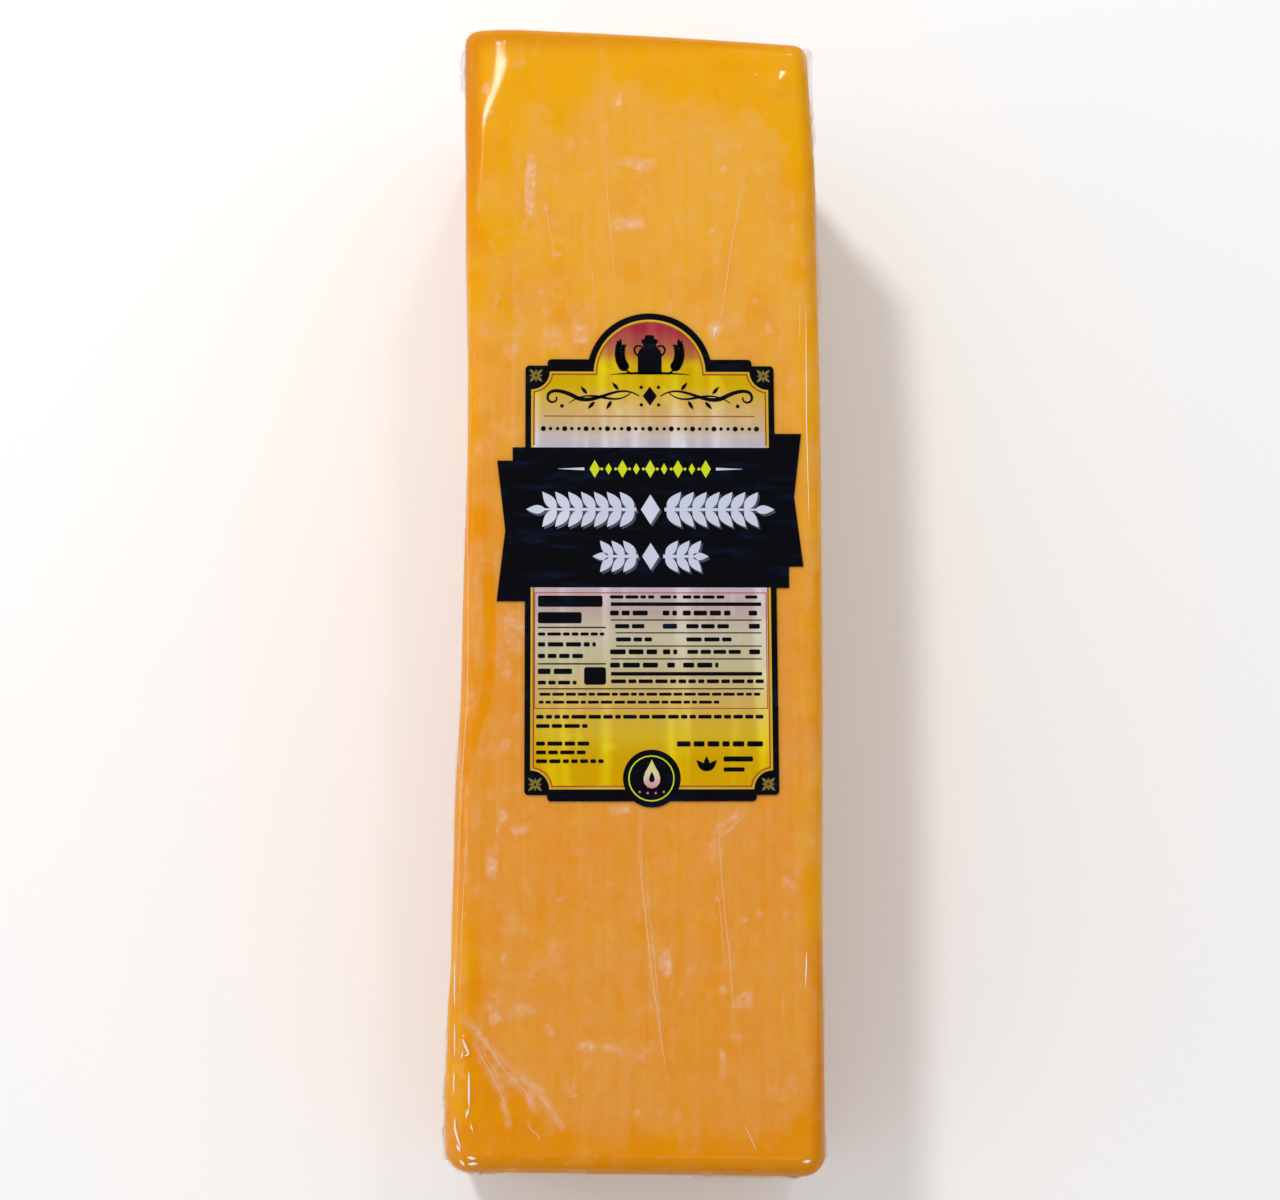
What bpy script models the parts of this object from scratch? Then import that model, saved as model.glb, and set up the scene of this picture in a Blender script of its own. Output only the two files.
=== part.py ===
"""A loaf of orange cheddar, shrunk into a clear bag and lying label side up.

Lengths below are in millimetres and are turned into metres where a mesh is made.
X runs across the loaf, Y along it towards the end with the long film ear, and Z up.
The origin is under the middle of the sealed bag's box, on the surface it lies on.
"""

import math

import bmesh
import bpy
from mathutils import Matrix, Vector

MILLIMETRE = 0.001

# Loaf: the nominal cut size
LOAF_WIDTH = 87.0
LOAF_LENGTH = 279.3
LOAF_HEIGHT = 86.0

# Edge rounding, tight along the middle and slack at the two ends
EDGE_RADIUS_MIDDLE = 4.6
EDGE_RADIUS_ENDS = 5.6
EDGE_RADIUS_START = 0.55

# How far each long side stands out of the straight line, by place along the loaf
LEFT_SIDE = (
    (-140.0, 1.1),
    (-122.0, 1.9),
    (-60.0, 0.7),
    (-20.0, -0.5),
    (40.0, -1.4),
    (100.0, -0.7),
    (140.0, -0.1),
)
RIGHT_SIDE = (
    (-140.0, -0.7),
    (-95.0, -0.6),
    (-5.0, 0.4),
    (40.0, 0.6),
    (100.0, -0.1),
    (140.0, -1.4),
)

# The two ends are cut a little out of square, and the far one is bowed
NEAR_END_ANGLE = math.radians(0.86)
FAR_END_ANGLE = math.radians(2.68)
FAR_END_BOW = 0.4
END_SHEAR_START = 0.5

# Mesh: share of the half size that stays flat, and cells across each face
FLAT_SHARE = 0.8
ROUND_CELLS = 3
FLAT_CELLS_ACROSS = 5
FLAT_CELLS_ALONG = 16
FLAT_CELLS_UP = 5

# Film ears folded against the long sides: side, near end, far end, bottom, top, thickness at each end
EAR_BURIED = 3.0
EAR_NEAR_ROUNDING = 0.9
EAR_FAR_ROUNDING = 0.5
QUARTER_TURN_SEGMENTS = 6
FILM_EARS = (
    ("ear_far_right", 1, 74.0, 136.0, 50.0, 80.0, 1.8, 0.3),
    ("ear_far_left", -1, 127.5, 136.0, 66.0, 80.0, 1.6, 1.5),
    ("ear_near_left", -1, -136.0, -128.0, 56.0, 80.0, 0.7, 0.4),
    ("ear_near_right", 1, -136.0, -130.0, 60.0, 80.0, 0.8, 0.6),
)

# Film seals folded flat against the ends: end, left, right, bottom, top, thickness
SEAL_BURIED = 3.0
FILM_SEALS = (
    ("seal_far", 1, -36.0, 36.0, 37.0, 49.0, 0.9),
    ("seal_near", -1, -36.0, 12.0, 37.0, 49.0, 0.6),
    ("seal_near_flap", -1, 12.0, 37.5, 44.0, 79.0, 0.8),
)
SEAL_CORNER_RADIUS = 3.0

# Pleats of gathered film, from the end of each seal to the corners of that end face
PLEAT_WIDTH = 3.2
PLEAT_HEIGHT = 0.6
PLEAT_BURIED = 2.0
PLEAT_SEAL_END = (35.0, 43.0)
PLEAT_CORNERS = ((37.5, 80.5), (38.5, 62.0), (37.5, 6.0))

# Printed label on the bag's top face
LABEL_CENTRE = (2.5, 0.0)
LABEL_TURN = math.radians(0.2)
LABEL_GAP = 0.3
LABEL_THICKNESS = 0.4
FIELD_GAP = 0.3

FRAME_HALF_WIDTH = 30.15
FRAME_BAR = 1.4
SHOULDER_HALF_WIDTH = 24.8
CORNER_ROUNDING = 1.0
TOP_CORNER_HEIGHT = 53.1
SHOULDER_HEIGHT = 54.7
UPPER_FIELD_TOP = 51.6
ARCH_CENTRE_HEIGHT = 51.1
ARCH_RADIUS = 15.2
ARCH_BAR = 1.6
CORNER_SCOOP_RADIUS = 4.5

BANNER_HALF_WIDTH = 33.2
BANNER_TOP = 32.7
BANNER_BOTTOM = -1.7
LEFT_TAIL = ((-33.2, 29.4), (-36.9, 29.4), (-34.9, 12.3), (-36.9, -5.0), (-30.15, -5.0))
RIGHT_TAIL = ((33.2, 3.5), (36.7, 3.5), (34.7, 20.6), (36.6, 36.2), (30.15, 36.2))

LOWER_FIELD_BOTTOM = -50.2
BOTTOM_CORNER_DEPTH = -51.5
BOTTOM_BAR_DEPTH = -53.0
BADGE_CENTRE_HEIGHT = -47.6
BADGE_RADIUS = 6.85
ARC_STEP = math.radians(9.0)

# Colours as linear values, and the angle past which an edge is drawn sharp
CHEDDAR_COLOUR = (0.80, 0.35, 0.045)
INK_COLOUR = (0.006, 0.006, 0.009)
UPPER_FIELD_COLOUR = (0.70, 0.52, 0.10)
LOWER_FIELD_COLOUR = (0.74, 0.53, 0.02)
SHARP_ANGLE = math.radians(40.0)


def clear_scene():
    """Removes every object that the file holds."""
    for obj in list(bpy.data.objects):
        bpy.data.objects.remove(obj, do_unlink=True)


def principled(name, colour, roughness, coat=0.0):
    """A plain material of one colour, with an optional clear coat for the film."""
    material = bpy.data.materials.new(name)
    material.use_nodes = True
    shader = material.node_tree.nodes["Principled BSDF"]
    shader.inputs["Base Color"].default_value = (*colour, 1.0)
    shader.inputs["Roughness"].default_value = roughness
    shader.inputs["Metallic"].default_value = 0.0
    shader.inputs["Coat Weight"].default_value = coat
    return material


def new_object(name, mesh_builder, material, parent=None):
    """Turns a bmesh in millimetres into a named object in metres."""
    mesh_builder.transform(Matrix.Scale(MILLIMETRE, 4))
    mesh = bpy.data.meshes.new(name)
    mesh_builder.to_mesh(mesh)
    mesh_builder.free()
    mesh.materials.append(material)
    obj = bpy.data.objects.new(name, mesh)
    bpy.context.scene.collection.objects.link(obj)
    obj.parent = parent
    return obj


def smooth_step(value):
    """Eases a value from 0 to 1 with level ends, and clamps it outside them."""
    value = min(max(value, 0.0), 1.0)
    return value * value * (3.0 - 2.0 * value)


def stand_out(stations, place):
    """The offset at a place along the loaf, eased from one station to the next."""
    if place <= stations[0][0]:
        return stations[0][1]
    for (start, first), (end, second) in zip(stations, stations[1:]):
        if place <= end:
            return first + (second - first) * smooth_step((place - start) / (end - start))
    return stations[-1][1]


def cube_stations(flat_cells):
    """Cut positions along one axis of the unit cube: even cells, then the rounded rims."""
    flat = [FLAT_SHARE * (2.0 * i / flat_cells - 1.0) for i in range(flat_cells + 1)]
    rim = [FLAT_SHARE + (1.0 - FLAT_SHARE) * i / ROUND_CELLS for i in range(1, ROUND_CELLS)]
    return [-place for place in reversed(rim)] + flat + rim


def cut_into_cells(cube):
    """Cuts the unit cube's faces along the stations of its three axes."""
    axes = (
        (Vector((1.0, 0.0, 0.0)), FLAT_CELLS_ACROSS),
        (Vector((0.0, 1.0, 0.0)), FLAT_CELLS_ALONG),
        (Vector((0.0, 0.0, 1.0)), FLAT_CELLS_UP),
    )
    for normal, flat_cells in axes:
        for place in cube_stations(flat_cells):
            everything = cube.verts[:] + cube.edges[:] + cube.faces[:]
            bmesh.ops.bisect_plane(cube, geom=everything, plane_co=normal * place, plane_no=normal)


def rounded_point(unit):
    """Moves a point of the unit cube's skin onto the loaf with rounded edges."""
    slack = smooth_step((abs(unit.y) - EDGE_RADIUS_START) / (1.0 - EDGE_RADIUS_START))
    radius = EDGE_RADIUS_MIDDLE + (EDGE_RADIUS_ENDS - EDGE_RADIUS_MIDDLE) * slack
    halves = (LOAF_WIDTH / 2.0, LOAF_LENGTH / 2.0, LOAF_HEIGHT / 2.0)
    core = Vector()
    lean = Vector()
    for axis, half in enumerate(halves):
        size = abs(unit[axis])
        sign = math.copysign(1.0, unit[axis])
        over = max(size - FLAT_SHARE, 0.0) / (1.0 - FLAT_SHARE)
        core[axis] = sign * min(size / FLAT_SHARE, 1.0) * (half - radius)
        lean[axis] = sign * math.tan(over * math.radians(45.0))
    return core + lean.normalized() * radius + Vector((0.0, 0.0, LOAF_HEIGHT / 2.0))


def settle(point):
    """Bends the straight loaf into its real outline, seen from above."""
    half_width = LOAF_WIDTH / 2.0
    half_length = LOAF_LENGTH / 2.0
    across = min(abs(point.x) / half_width, 1.0)
    side = RIGHT_SIDE if point.x > 0.0 else LEFT_SIDE
    outward = math.copysign(1.0, point.x)
    shift_x = outward * stand_out(side, point.y) * across
    along = abs(point.y) / half_length
    shear = smooth_step((along - END_SHEAR_START) / (1.0 - END_SHEAR_START))
    if point.y > 0.0:
        bow = FAR_END_BOW * (1.0 - across * across) * shear
        shift_y = bow - point.x * math.tan(FAR_END_ANGLE) * shear
    else:
        shift_y = -point.x * math.tan(NEAR_END_ANGLE) * shear
    return Vector((point.x + shift_x, point.y + shift_y, point.z))


def build_loaf():
    """The bmesh of the loaf in its tight film, without the folded ears."""
    loaf = bmesh.new()
    bmesh.ops.create_cube(loaf, size=2.0)
    cut_into_cells(loaf)
    for vertex in loaf.verts:
        vertex.co = settle(rounded_point(vertex.co.copy()))
    bmesh.ops.recalc_face_normals(loaf, faces=loaf.faces[:])
    return loaf


def side_face(side, place):
    """Distance of a long side's face from the middle plane."""
    stations = RIGHT_SIDE if side > 0 else LEFT_SIDE
    return LOAF_WIDTH / 2.0 + stand_out(stations, place)


def prism(first, second):
    """A closed bmesh between two outlines with the same number of points."""
    solid = bmesh.new()
    rings = [[solid.verts.new(point) for point in outline] for outline in (first, second)]
    count = len(first)
    for i in range(count):
        j = (i + 1) % count
        solid.faces.new((rings[0][i], rings[0][j], rings[1][j], rings[1][i]))
    solid.faces.new(list(reversed(rings[0])))
    solid.faces.new(rings[1])
    bmesh.ops.recalc_face_normals(solid, faces=solid.faces[:])
    return solid


def rounded_box_outline(left, right, bottom, top, radii):
    """Corner points of a flat box, with one radius for each side: left, then right."""
    outline = []
    corners = (
        (left, bottom, 180.0, radii[0]),
        (right, bottom, 270.0, radii[1]),
        (right, top, 0.0, radii[1]),
        (left, top, 90.0, radii[0]),
    )
    for across, up, start, radius in corners:
        centre_across = across + math.copysign(radius, (left + right) / 2.0 - across)
        centre_up = up + math.copysign(radius, (bottom + top) / 2.0 - up)
        for i in range(QUARTER_TURN_SEGMENTS + 1):
            angle = math.radians(start + 90.0 * i / QUARTER_TURN_SEGMENTS)
            outline.append((centre_across + radius * math.cos(angle), centre_up + radius * math.sin(angle)))
    return outline


def build_ear(side, near, far, bottom, top, near_thickness, far_thickness):
    """One film ear: a plate on a long side, thicker at its free end."""
    small = min(far - near, top - bottom) / 2.0
    radii = (small * EAR_NEAR_ROUNDING, small * EAR_FAR_ROUNDING)
    outline = rounded_box_outline(near, far, bottom, top, radii)
    inner = []
    outer = []
    for place, height in outline:
        face = side_face(side, place)
        share = (place - near) / (far - near)
        thickness = near_thickness + (far_thickness - near_thickness) * share
        inner.append((side * (face - EAR_BURIED), place, height))
        outer.append((side * (face + thickness), place, height))
    return prism(inner, outer)


def build_seal(end, left, right, bottom, top, thickness):
    """One folded seal: a plate on an end face, set square to that face."""
    radii = (SEAL_CORNER_RADIUS, SEAL_CORNER_RADIUS)
    outline = rounded_box_outline(left, right, bottom, top, radii)
    face = LOAF_LENGTH / 2.0
    inner = []
    outer = []
    for across, height in outline:
        straight = settle(Vector((across, end * face, height)))
        inner.append((straight.x, straight.y - end * SEAL_BURIED, height))
        outer.append((straight.x, straight.y + end * thickness, height))
    return prism(inner, outer)


def build_pleat(end, side, corner):
    """One pleat: a low roof-shaped ridge over an end face, sharpest at its middle."""
    start = Vector((side * PLEAT_SEAL_END[0], PLEAT_SEAL_END[1]))
    finish = Vector((side * corner[0], corner[1]))
    along = (finish - start).normalized()
    aside = Vector((-along.y, along.x)) * PLEAT_WIDTH / 2.0
    face = LOAF_LENGTH / 2.0
    outlines = []
    for place in (start, finish):
        outline = []
        section = ((-1.0, -PLEAT_BURIED), (1.0, -PLEAT_BURIED), (0.0, PLEAT_HEIGHT))
        for sideways, proud in section:
            flat = place + aside * sideways
            skin = settle(Vector((flat.x, end * face, flat.y)))
            outline.append((skin.x, skin.y + end * proud, skin.z))
        outlines.append(outline)
    return prism(outlines[0], outlines[1])


def build_sealed_bag(parent, film):
    """The loaf and its film as one solid, with the ears and seals fused on."""
    bag = new_object("sealed_bag", build_loaf(), film, parent)
    folds = bpy.data.collections.new("film_folds")
    bpy.context.scene.collection.children.link(folds)
    pieces = [(name, build_ear(*sizes)) for name, *sizes in FILM_EARS]
    pieces += [(name, build_seal(*sizes)) for name, *sizes in FILM_SEALS]
    for end in (-1, 1):
        for side in (-1, 1):
            for corner in PLEAT_CORNERS:
                pieces.append(("pleat", build_pleat(end, side, corner)))
    for name, shape in pieces:
        piece = new_object(name, shape, film, parent)
        bpy.context.scene.collection.objects.unlink(piece)
        folds.objects.link(piece)
    join = bag.modifiers.new("join_film_folds", "BOOLEAN")
    join.operation = "UNION"
    join.operand_type = "COLLECTION"
    join.collection = folds
    join.solver = "EXACT"
    bpy.context.view_layer.update()
    joined = bpy.data.meshes.new_from_object(bag.evaluated_get(bpy.context.evaluated_depsgraph_get()))
    joined.name = "sealed_bag"
    bag.modifiers.remove(join)
    bag.data = joined
    for piece in list(folds.objects):
        bpy.data.objects.remove(piece, do_unlink=True)
    bpy.data.collections.remove(folds)
    for polygon in joined.polygons:
        polygon.use_smooth = True
    joined.set_sharp_from_angle(angle=SHARP_ANGLE)
    return bag


def arc(centre, radius, start, end):
    """Points along an arc, both ends included, with angles in radians."""
    steps = max(2, math.ceil(abs(end - start) / ARC_STEP))
    angles = [start + (end - start) * i / steps for i in range(steps + 1)]
    return [(centre[0] + radius * math.cos(a), centre[1] + radius * math.sin(a)) for a in angles]


def frame_outline():
    """The black frame's outer line: arch, shoulders, banner with its tails, and badge."""
    right, up, left, down, full_turn = (math.radians(angle) for angle in (0.0, 90.0, 180.0, 270.0, 360.0))
    side = FRAME_HALF_WIDTH
    inside = side - CORNER_ROUNDING
    badge_lean = math.asin((BADGE_CENTRE_HEIGHT - BOTTOM_BAR_DEPTH) / BADGE_RADIUS)
    arch_lean = math.asin((SHOULDER_HEIGHT - ARCH_CENTRE_HEIGHT) / ARCH_RADIUS)
    low = BOTTOM_CORNER_DEPTH + CORNER_ROUNDING
    high = TOP_CORNER_HEIGHT - CORNER_ROUNDING
    outline = arc((0.0, BADGE_CENTRE_HEIGHT), BADGE_RADIUS, left + badge_lean, full_turn - badge_lean)
    outline += [(SHOULDER_HALF_WIDTH, BOTTOM_BAR_DEPTH), (SHOULDER_HALF_WIDTH, BOTTOM_CORNER_DEPTH)]
    outline += arc((inside, low), CORNER_ROUNDING, down, full_turn)
    outline += [(side, BANNER_BOTTOM), (BANNER_HALF_WIDTH, BANNER_BOTTOM), *RIGHT_TAIL]
    outline += arc((inside, high), CORNER_ROUNDING, right, up)
    outline += [(SHOULDER_HALF_WIDTH, TOP_CORNER_HEIGHT), (SHOULDER_HALF_WIDTH, SHOULDER_HEIGHT)]
    outline += arc((0.0, ARCH_CENTRE_HEIGHT), ARCH_RADIUS, arch_lean, left - arch_lean)
    outline += [(-SHOULDER_HALF_WIDTH, SHOULDER_HEIGHT), (-SHOULDER_HALF_WIDTH, TOP_CORNER_HEIGHT)]
    outline += arc((-inside, high), CORNER_ROUNDING, up, left)
    outline += [(-side, BANNER_TOP), (-BANNER_HALF_WIDTH, BANNER_TOP), *LEFT_TAIL]
    outline += arc((-inside, low), CORNER_ROUNDING, left, down)
    outline += [(-SHOULDER_HALF_WIDTH, BOTTOM_CORNER_DEPTH), (-SHOULDER_HALF_WIDTH, BOTTOM_BAR_DEPTH)]
    return outline


def upper_field_outline(shrink):
    """The window over the banner: a box with scooped corners under a half disc."""
    side = FRAME_HALF_WIDTH - FRAME_BAR - shrink
    top = UPPER_FIELD_TOP - shrink
    scoop = CORNER_SCOOP_RADIUS + shrink
    arch = ARCH_RADIUS - ARCH_BAR - shrink
    corner_side = FRAME_HALF_WIDTH - FRAME_BAR
    reach = math.asin(min(shrink / scoop, 1.0))
    outline = [(-side, BANNER_TOP + shrink), (side, BANNER_TOP + shrink)]
    corner = (corner_side, UPPER_FIELD_TOP)
    right_scoop = arc(corner, scoop, math.radians(270.0) - reach, math.radians(180.0) + reach)
    outline += right_scoop
    dip = math.asin((top - ARCH_CENTRE_HEIGHT) / arch)
    outline += arc((0.0, ARCH_CENTRE_HEIGHT), arch, dip, math.radians(180.0) - dip)
    outline += [(-across, height) for across, height in reversed(right_scoop)]
    return outline


def lower_field_outline(shrink):
    """The window under the banner: a box with scooped corners and a bite for the badge."""
    side = FRAME_HALF_WIDTH - FRAME_BAR - shrink
    bottom = LOWER_FIELD_BOTTOM + shrink
    scoop = CORNER_SCOOP_RADIUS + shrink
    badge = BADGE_RADIUS + shrink
    corner_side = FRAME_HALF_WIDTH - FRAME_BAR
    reach = math.asin(min(shrink / scoop, 1.0))
    lift = math.asin((bottom - BADGE_CENTRE_HEIGHT) / badge)
    outline = [(side, BANNER_BOTTOM - shrink), (-side, BANNER_BOTTOM - shrink)]
    left_scoop = arc((-corner_side, LOWER_FIELD_BOTTOM), scoop, math.radians(90.0) - reach, reach)
    outline += left_scoop
    outline += arc((0.0, BADGE_CENTRE_HEIGHT), badge, math.radians(180.0) - lift, lift)
    outline += [(-across, height) for across, height in reversed(left_scoop)]
    return outline


def label_plate(name, outline, material, parent, overshoot=0.0):
    """A thin plate lying over the bag's top face, turned as the label is."""
    bottom = LOAF_HEIGHT + LABEL_GAP - overshoot
    top = LOAF_HEIGHT + LABEL_GAP + LABEL_THICKNESS + overshoot
    turned = []
    for across, up in outline:
        x = LABEL_CENTRE[0] + across * math.cos(LABEL_TURN) - up * math.sin(LABEL_TURN)
        y = LABEL_CENTRE[1] + across * math.sin(LABEL_TURN) + up * math.cos(LABEL_TURN)
        turned.append((x, y))
    plate = prism([(x, y, bottom) for x, y in turned], [(x, y, top) for x, y in turned])
    return new_object(name, plate, material, parent)


def build_label(parent, ink, upper, lower):
    """The black frame with its two windows, and the coloured field inside each."""
    frame = label_plate("label_frame", frame_outline(), ink, parent)
    windows = (("upper", upper_field_outline), ("lower", lower_field_outline))
    for name, outline in windows:
        cutter = label_plate(name + "_window_cutter", outline(0.0), ink, parent, LABEL_THICKNESS)
        cutter.hide_render = True
        cutter.display_type = "WIRE"
        cut = frame.modifiers.new("cut_" + name + "_window", "BOOLEAN")
        cut.operation = "DIFFERENCE"
        cut.solver = "EXACT"
        cut.object = cutter
    label_plate("label_upper_field", upper_field_outline(FIELD_GAP), upper, parent)
    label_plate("label_lower_field", lower_field_outline(FIELD_GAP), lower, parent)


def centre_under(root, bag):
    """Moves the root so that the middle of the bag's box stands on the origin."""
    xs = [vertex.co.x for vertex in bag.data.vertices]
    ys = [vertex.co.y for vertex in bag.data.vertices]
    root.location.x = -(min(xs) + max(xs)) / 2.0
    root.location.y = -(min(ys) + max(ys)) / 2.0


def main():
    """Builds the loaf and its label under one empty."""
    clear_scene()
    root = bpy.data.objects.new("cheddar_block", None)
    bpy.context.scene.collection.objects.link(root)
    cheddar = principled("cheddar_in_film", CHEDDAR_COLOUR, 0.38, 0.6)
    ink = principled("label_black", INK_COLOUR, 0.35)
    upper = principled("label_pale_yellow", UPPER_FIELD_COLOUR, 0.4)
    lower = principled("label_yellow", LOWER_FIELD_COLOUR, 0.4)
    bag = build_sealed_bag(root, cheddar)
    build_label(root, ink, upper, lower)
    centre_under(root, bag)


main()
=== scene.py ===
"""A loaf of orange cheddar, shrunk into a clear bag and lying label side up.

Sizes in the classes are millimetres in the loaf's own frame: X across it, Y along it towards
the far end, and Z up from the surface it lies on. to_metres() turns them into the row's frame.
"""

import logging
import math
from collections.abc import Iterable, Sequence
from dataclasses import dataclass
from enum import Enum

import bmesh
import bpy
import numpy as np
from mathutils import Matrix, Vector
from mathutils.bvhtree import BVHTree
from mathutils.geometry import tessellate_polygon


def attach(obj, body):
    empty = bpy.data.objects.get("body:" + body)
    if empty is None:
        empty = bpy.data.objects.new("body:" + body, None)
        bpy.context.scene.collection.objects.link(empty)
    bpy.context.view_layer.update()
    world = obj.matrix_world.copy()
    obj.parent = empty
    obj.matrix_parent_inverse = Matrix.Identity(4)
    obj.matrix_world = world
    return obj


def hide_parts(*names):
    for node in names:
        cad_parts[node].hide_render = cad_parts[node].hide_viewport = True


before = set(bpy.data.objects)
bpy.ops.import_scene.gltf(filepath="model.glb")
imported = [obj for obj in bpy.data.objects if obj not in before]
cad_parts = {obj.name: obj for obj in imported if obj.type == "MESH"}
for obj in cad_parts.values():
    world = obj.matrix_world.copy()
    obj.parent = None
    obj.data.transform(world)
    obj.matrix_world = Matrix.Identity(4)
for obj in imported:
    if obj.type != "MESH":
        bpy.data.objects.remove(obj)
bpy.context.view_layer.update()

LOG = logging.getLogger("cheddar_block")
MILLIMETRE = 0.001
FRAME_SHIFT = np.array([0.056088, -0.674114, 0.0])
ROOT = "root"

Place = tuple[float, float]
Point = tuple[float, float, float]
Colour = tuple[float, float, float]
Outline = list[Place]
Shape = list[Outline]
Stations = tuple[Place, ...]
Piece = bpy.types.Object
Material = bpy.types.Material
Socket = bpy.types.NodeSocket


# Plain reckoning


def smooth_step(share: np.ndarray) -> np.ndarray:
    """Eases a share of a way from 0 to 1, level at both ends."""
    share = np.clip(share, 0.0, 1.0)
    return share * share * (3.0 - 2.0 * share)


def rise(values: np.ndarray, start: float, end: float) -> np.ndarray:
    """Eases from 0 where a value is at start to 1 where it is at end, which may be the lower one."""
    return smooth_step((values - start) / (end - start))


def between(stations: Stations, places: np.ndarray) -> np.ndarray:
    """Reads a value at each place from stations, eased from one to the next.

    Args:
        stations: Pairs of place and value, in rising order of place.
        places: Where to read.

    Returns:
        The value at each place.
    """
    marks, values = np.array(stations).T
    places = np.clip(places, marks[0], marks[-1])
    after = np.clip(np.searchsorted(marks, places), 1, len(marks) - 1)
    share = (places - marks[after - 1]) / (marks[after] - marks[after - 1])
    return values[after - 1] + (values[after] - values[after - 1]) * smooth_step(share)


def to_metres(points: np.ndarray) -> np.ndarray:
    """Turns points in the loaf's millimetres into the row's frame, in metres."""
    return (np.asarray(points, float) + FRAME_SHIFT) * MILLIMETRE


@dataclass(frozen=True)
class Waves:
    """A smooth random field: a few plane waves of about one length.

    Attributes:
        length: Typical wavelength in millimetres.
        stretch: How many times longer the waves are along Y.
    """

    seed: int
    length: float
    stretch: float = 1.0
    count: int = 11

    def at(self, points: np.ndarray) -> np.ndarray:
        """Gives the field at each point, mostly between -2 and 2.

        Args:
            points: Points in millimetres, one row each.

        Returns:
            One value for each point.
        """
        draw = np.random.default_rng(self.seed)
        ways = draw.normal(size=(self.count, 3))
        ways /= np.linalg.norm(ways, axis=1)[:, None]
        ways[:, 1] /= self.stretch
        lengths = self.length * draw.uniform(0.6, 1.7, self.count)
        phases = draw.uniform(0.0, 2.0 * math.pi, self.count)
        turns = points @ (ways / lengths[:, None]).T * (2.0 * math.pi) + phases
        return np.sin(turns).sum(axis=1) / math.sqrt(self.count / 2.0)


# Meshes and objects


def linked(name: str, data: bpy.types.ID) -> Piece:
    """Adds an object that shows a mesh, a light or a camera.

    Args:
        name: Name of the object.
        data: What it shows.

    Returns:
        The object.
    """
    made = bpy.data.objects.new(name, data)
    bpy.context.scene.collection.objects.link(made)
    return made


def raw_object(name: str, points: Sequence, edges: Sequence = (), faces: Sequence = ()) -> Piece:
    """Adds a mesh object from points in metres.

    Args:
        name: Name of the object and its mesh.
        points: Vertex places in the row's frame.
        edges: Vertex numbers of each loose edge.
        faces: Vertex numbers of each face, turned outwards.

    Returns:
        The object.
    """
    mesh = bpy.data.meshes.new(name)
    mesh.from_pydata(points, edges, faces)
    mesh.update()
    return linked(name, mesh)


def smooth_object(name: str, points: np.ndarray, faces: Iterable[Sequence[int]]) -> Piece:
    """Makes a smooth mesh object at the origin from points in millimetres.

    Args:
        name: Name of the object and its mesh.
        points: Vertex places in the loaf's frame.
        faces: Vertex numbers of each face, turned outwards.

    Returns:
        The linked object.
    """
    made = raw_object(name, to_metres(points).tolist(), (), [list(map(int, face)) for face in faces])
    made.data.polygons.foreach_set("use_smooth", [True] * len(made.data.polygons))
    made.data.update()
    return made


def mark(piece: Piece, name: str, values: Sequence[float]) -> None:
    """Writes one number for each vertex of a piece, for its material to read."""
    layer = piece.data.attributes.new(name, "FLOAT", "POINT")
    layer.data.foreach_set("value", np.asarray(values, np.float32))


class Writer:
    """Writes nodes into a tree one by one."""

    tree: bpy.types.NodeTree

    def add(self, kind: str, values: dict | None = None, **settings: object) -> bpy.types.Node:
        """Adds a node.

        Args:
            kind: Its type.
            values: What each input socket gets: a link or a plain value.
            settings: Its own properties, set before the values.

        Returns:
            The node.
        """
        node = self.tree.nodes.new(kind)
        for key, setting in settings.items():
            setattr(node, key, setting)
        for key, value in (values or {}).items():
            value = value.socket if isinstance(value, Wire) else value
            if isinstance(value, Socket):
                self.tree.links.new(value, node.inputs[key])
            else:
                node.inputs[key].default_value = value
        return node


class ShapeTree(Writer):
    """A Geometry Nodes tree with named inputs."""

    def __init__(self, name: str, **sockets: str) -> None:
        """Starts the tree.

        Args:
            name: Its name.
            sockets: Its inputs apart from the geometry, each with its kind.
        """
        self.tree = bpy.data.node_groups.new(name, "GeometryNodeTree")
        for title, kind in {"Geometry": "Geometry", **sockets}.items():
            self.tree.interface.new_socket(title, in_out="INPUT", socket_type="NodeSocket" + kind)
        self.tree.interface.new_socket("Geometry", in_out="OUTPUT", socket_type="NodeSocketGeometry")
        self.inputs = self.tree.nodes.new("NodeGroupInput").outputs

    def read(self, name: str) -> Socket:
        """Reads a number that the mesh carries for each vertex."""
        return self.add("GeometryNodeInputNamedAttribute", {"Name": name}, data_type="FLOAT").outputs[0]

    def reckon(self, operation: str, first: Socket | float, second: Socket | float = 0.0) -> Socket:
        """Adds a Math node and gives its result."""
        return self.add("ShaderNodeMath", {0: first, 1: second}, operation=operation).outputs[0]

    def closed(self, shape: Socket) -> bpy.types.GeometryNodeTree:
        """Ends the tree with real, dressed geometry.

        Args:
            shape: The geometry so far.

        Returns:
            The tree.
        """
        real = self.add("GeometryNodeRealizeInstances", {0: shape}).outputs[0]
        values = {"Geometry": real, "Material": self.inputs["Material"]}
        dressed = self.add("GeometryNodeSetMaterial", values).outputs[0]
        self.add("NodeGroupOutput", {"Geometry": dressed})
        return self.tree


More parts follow.
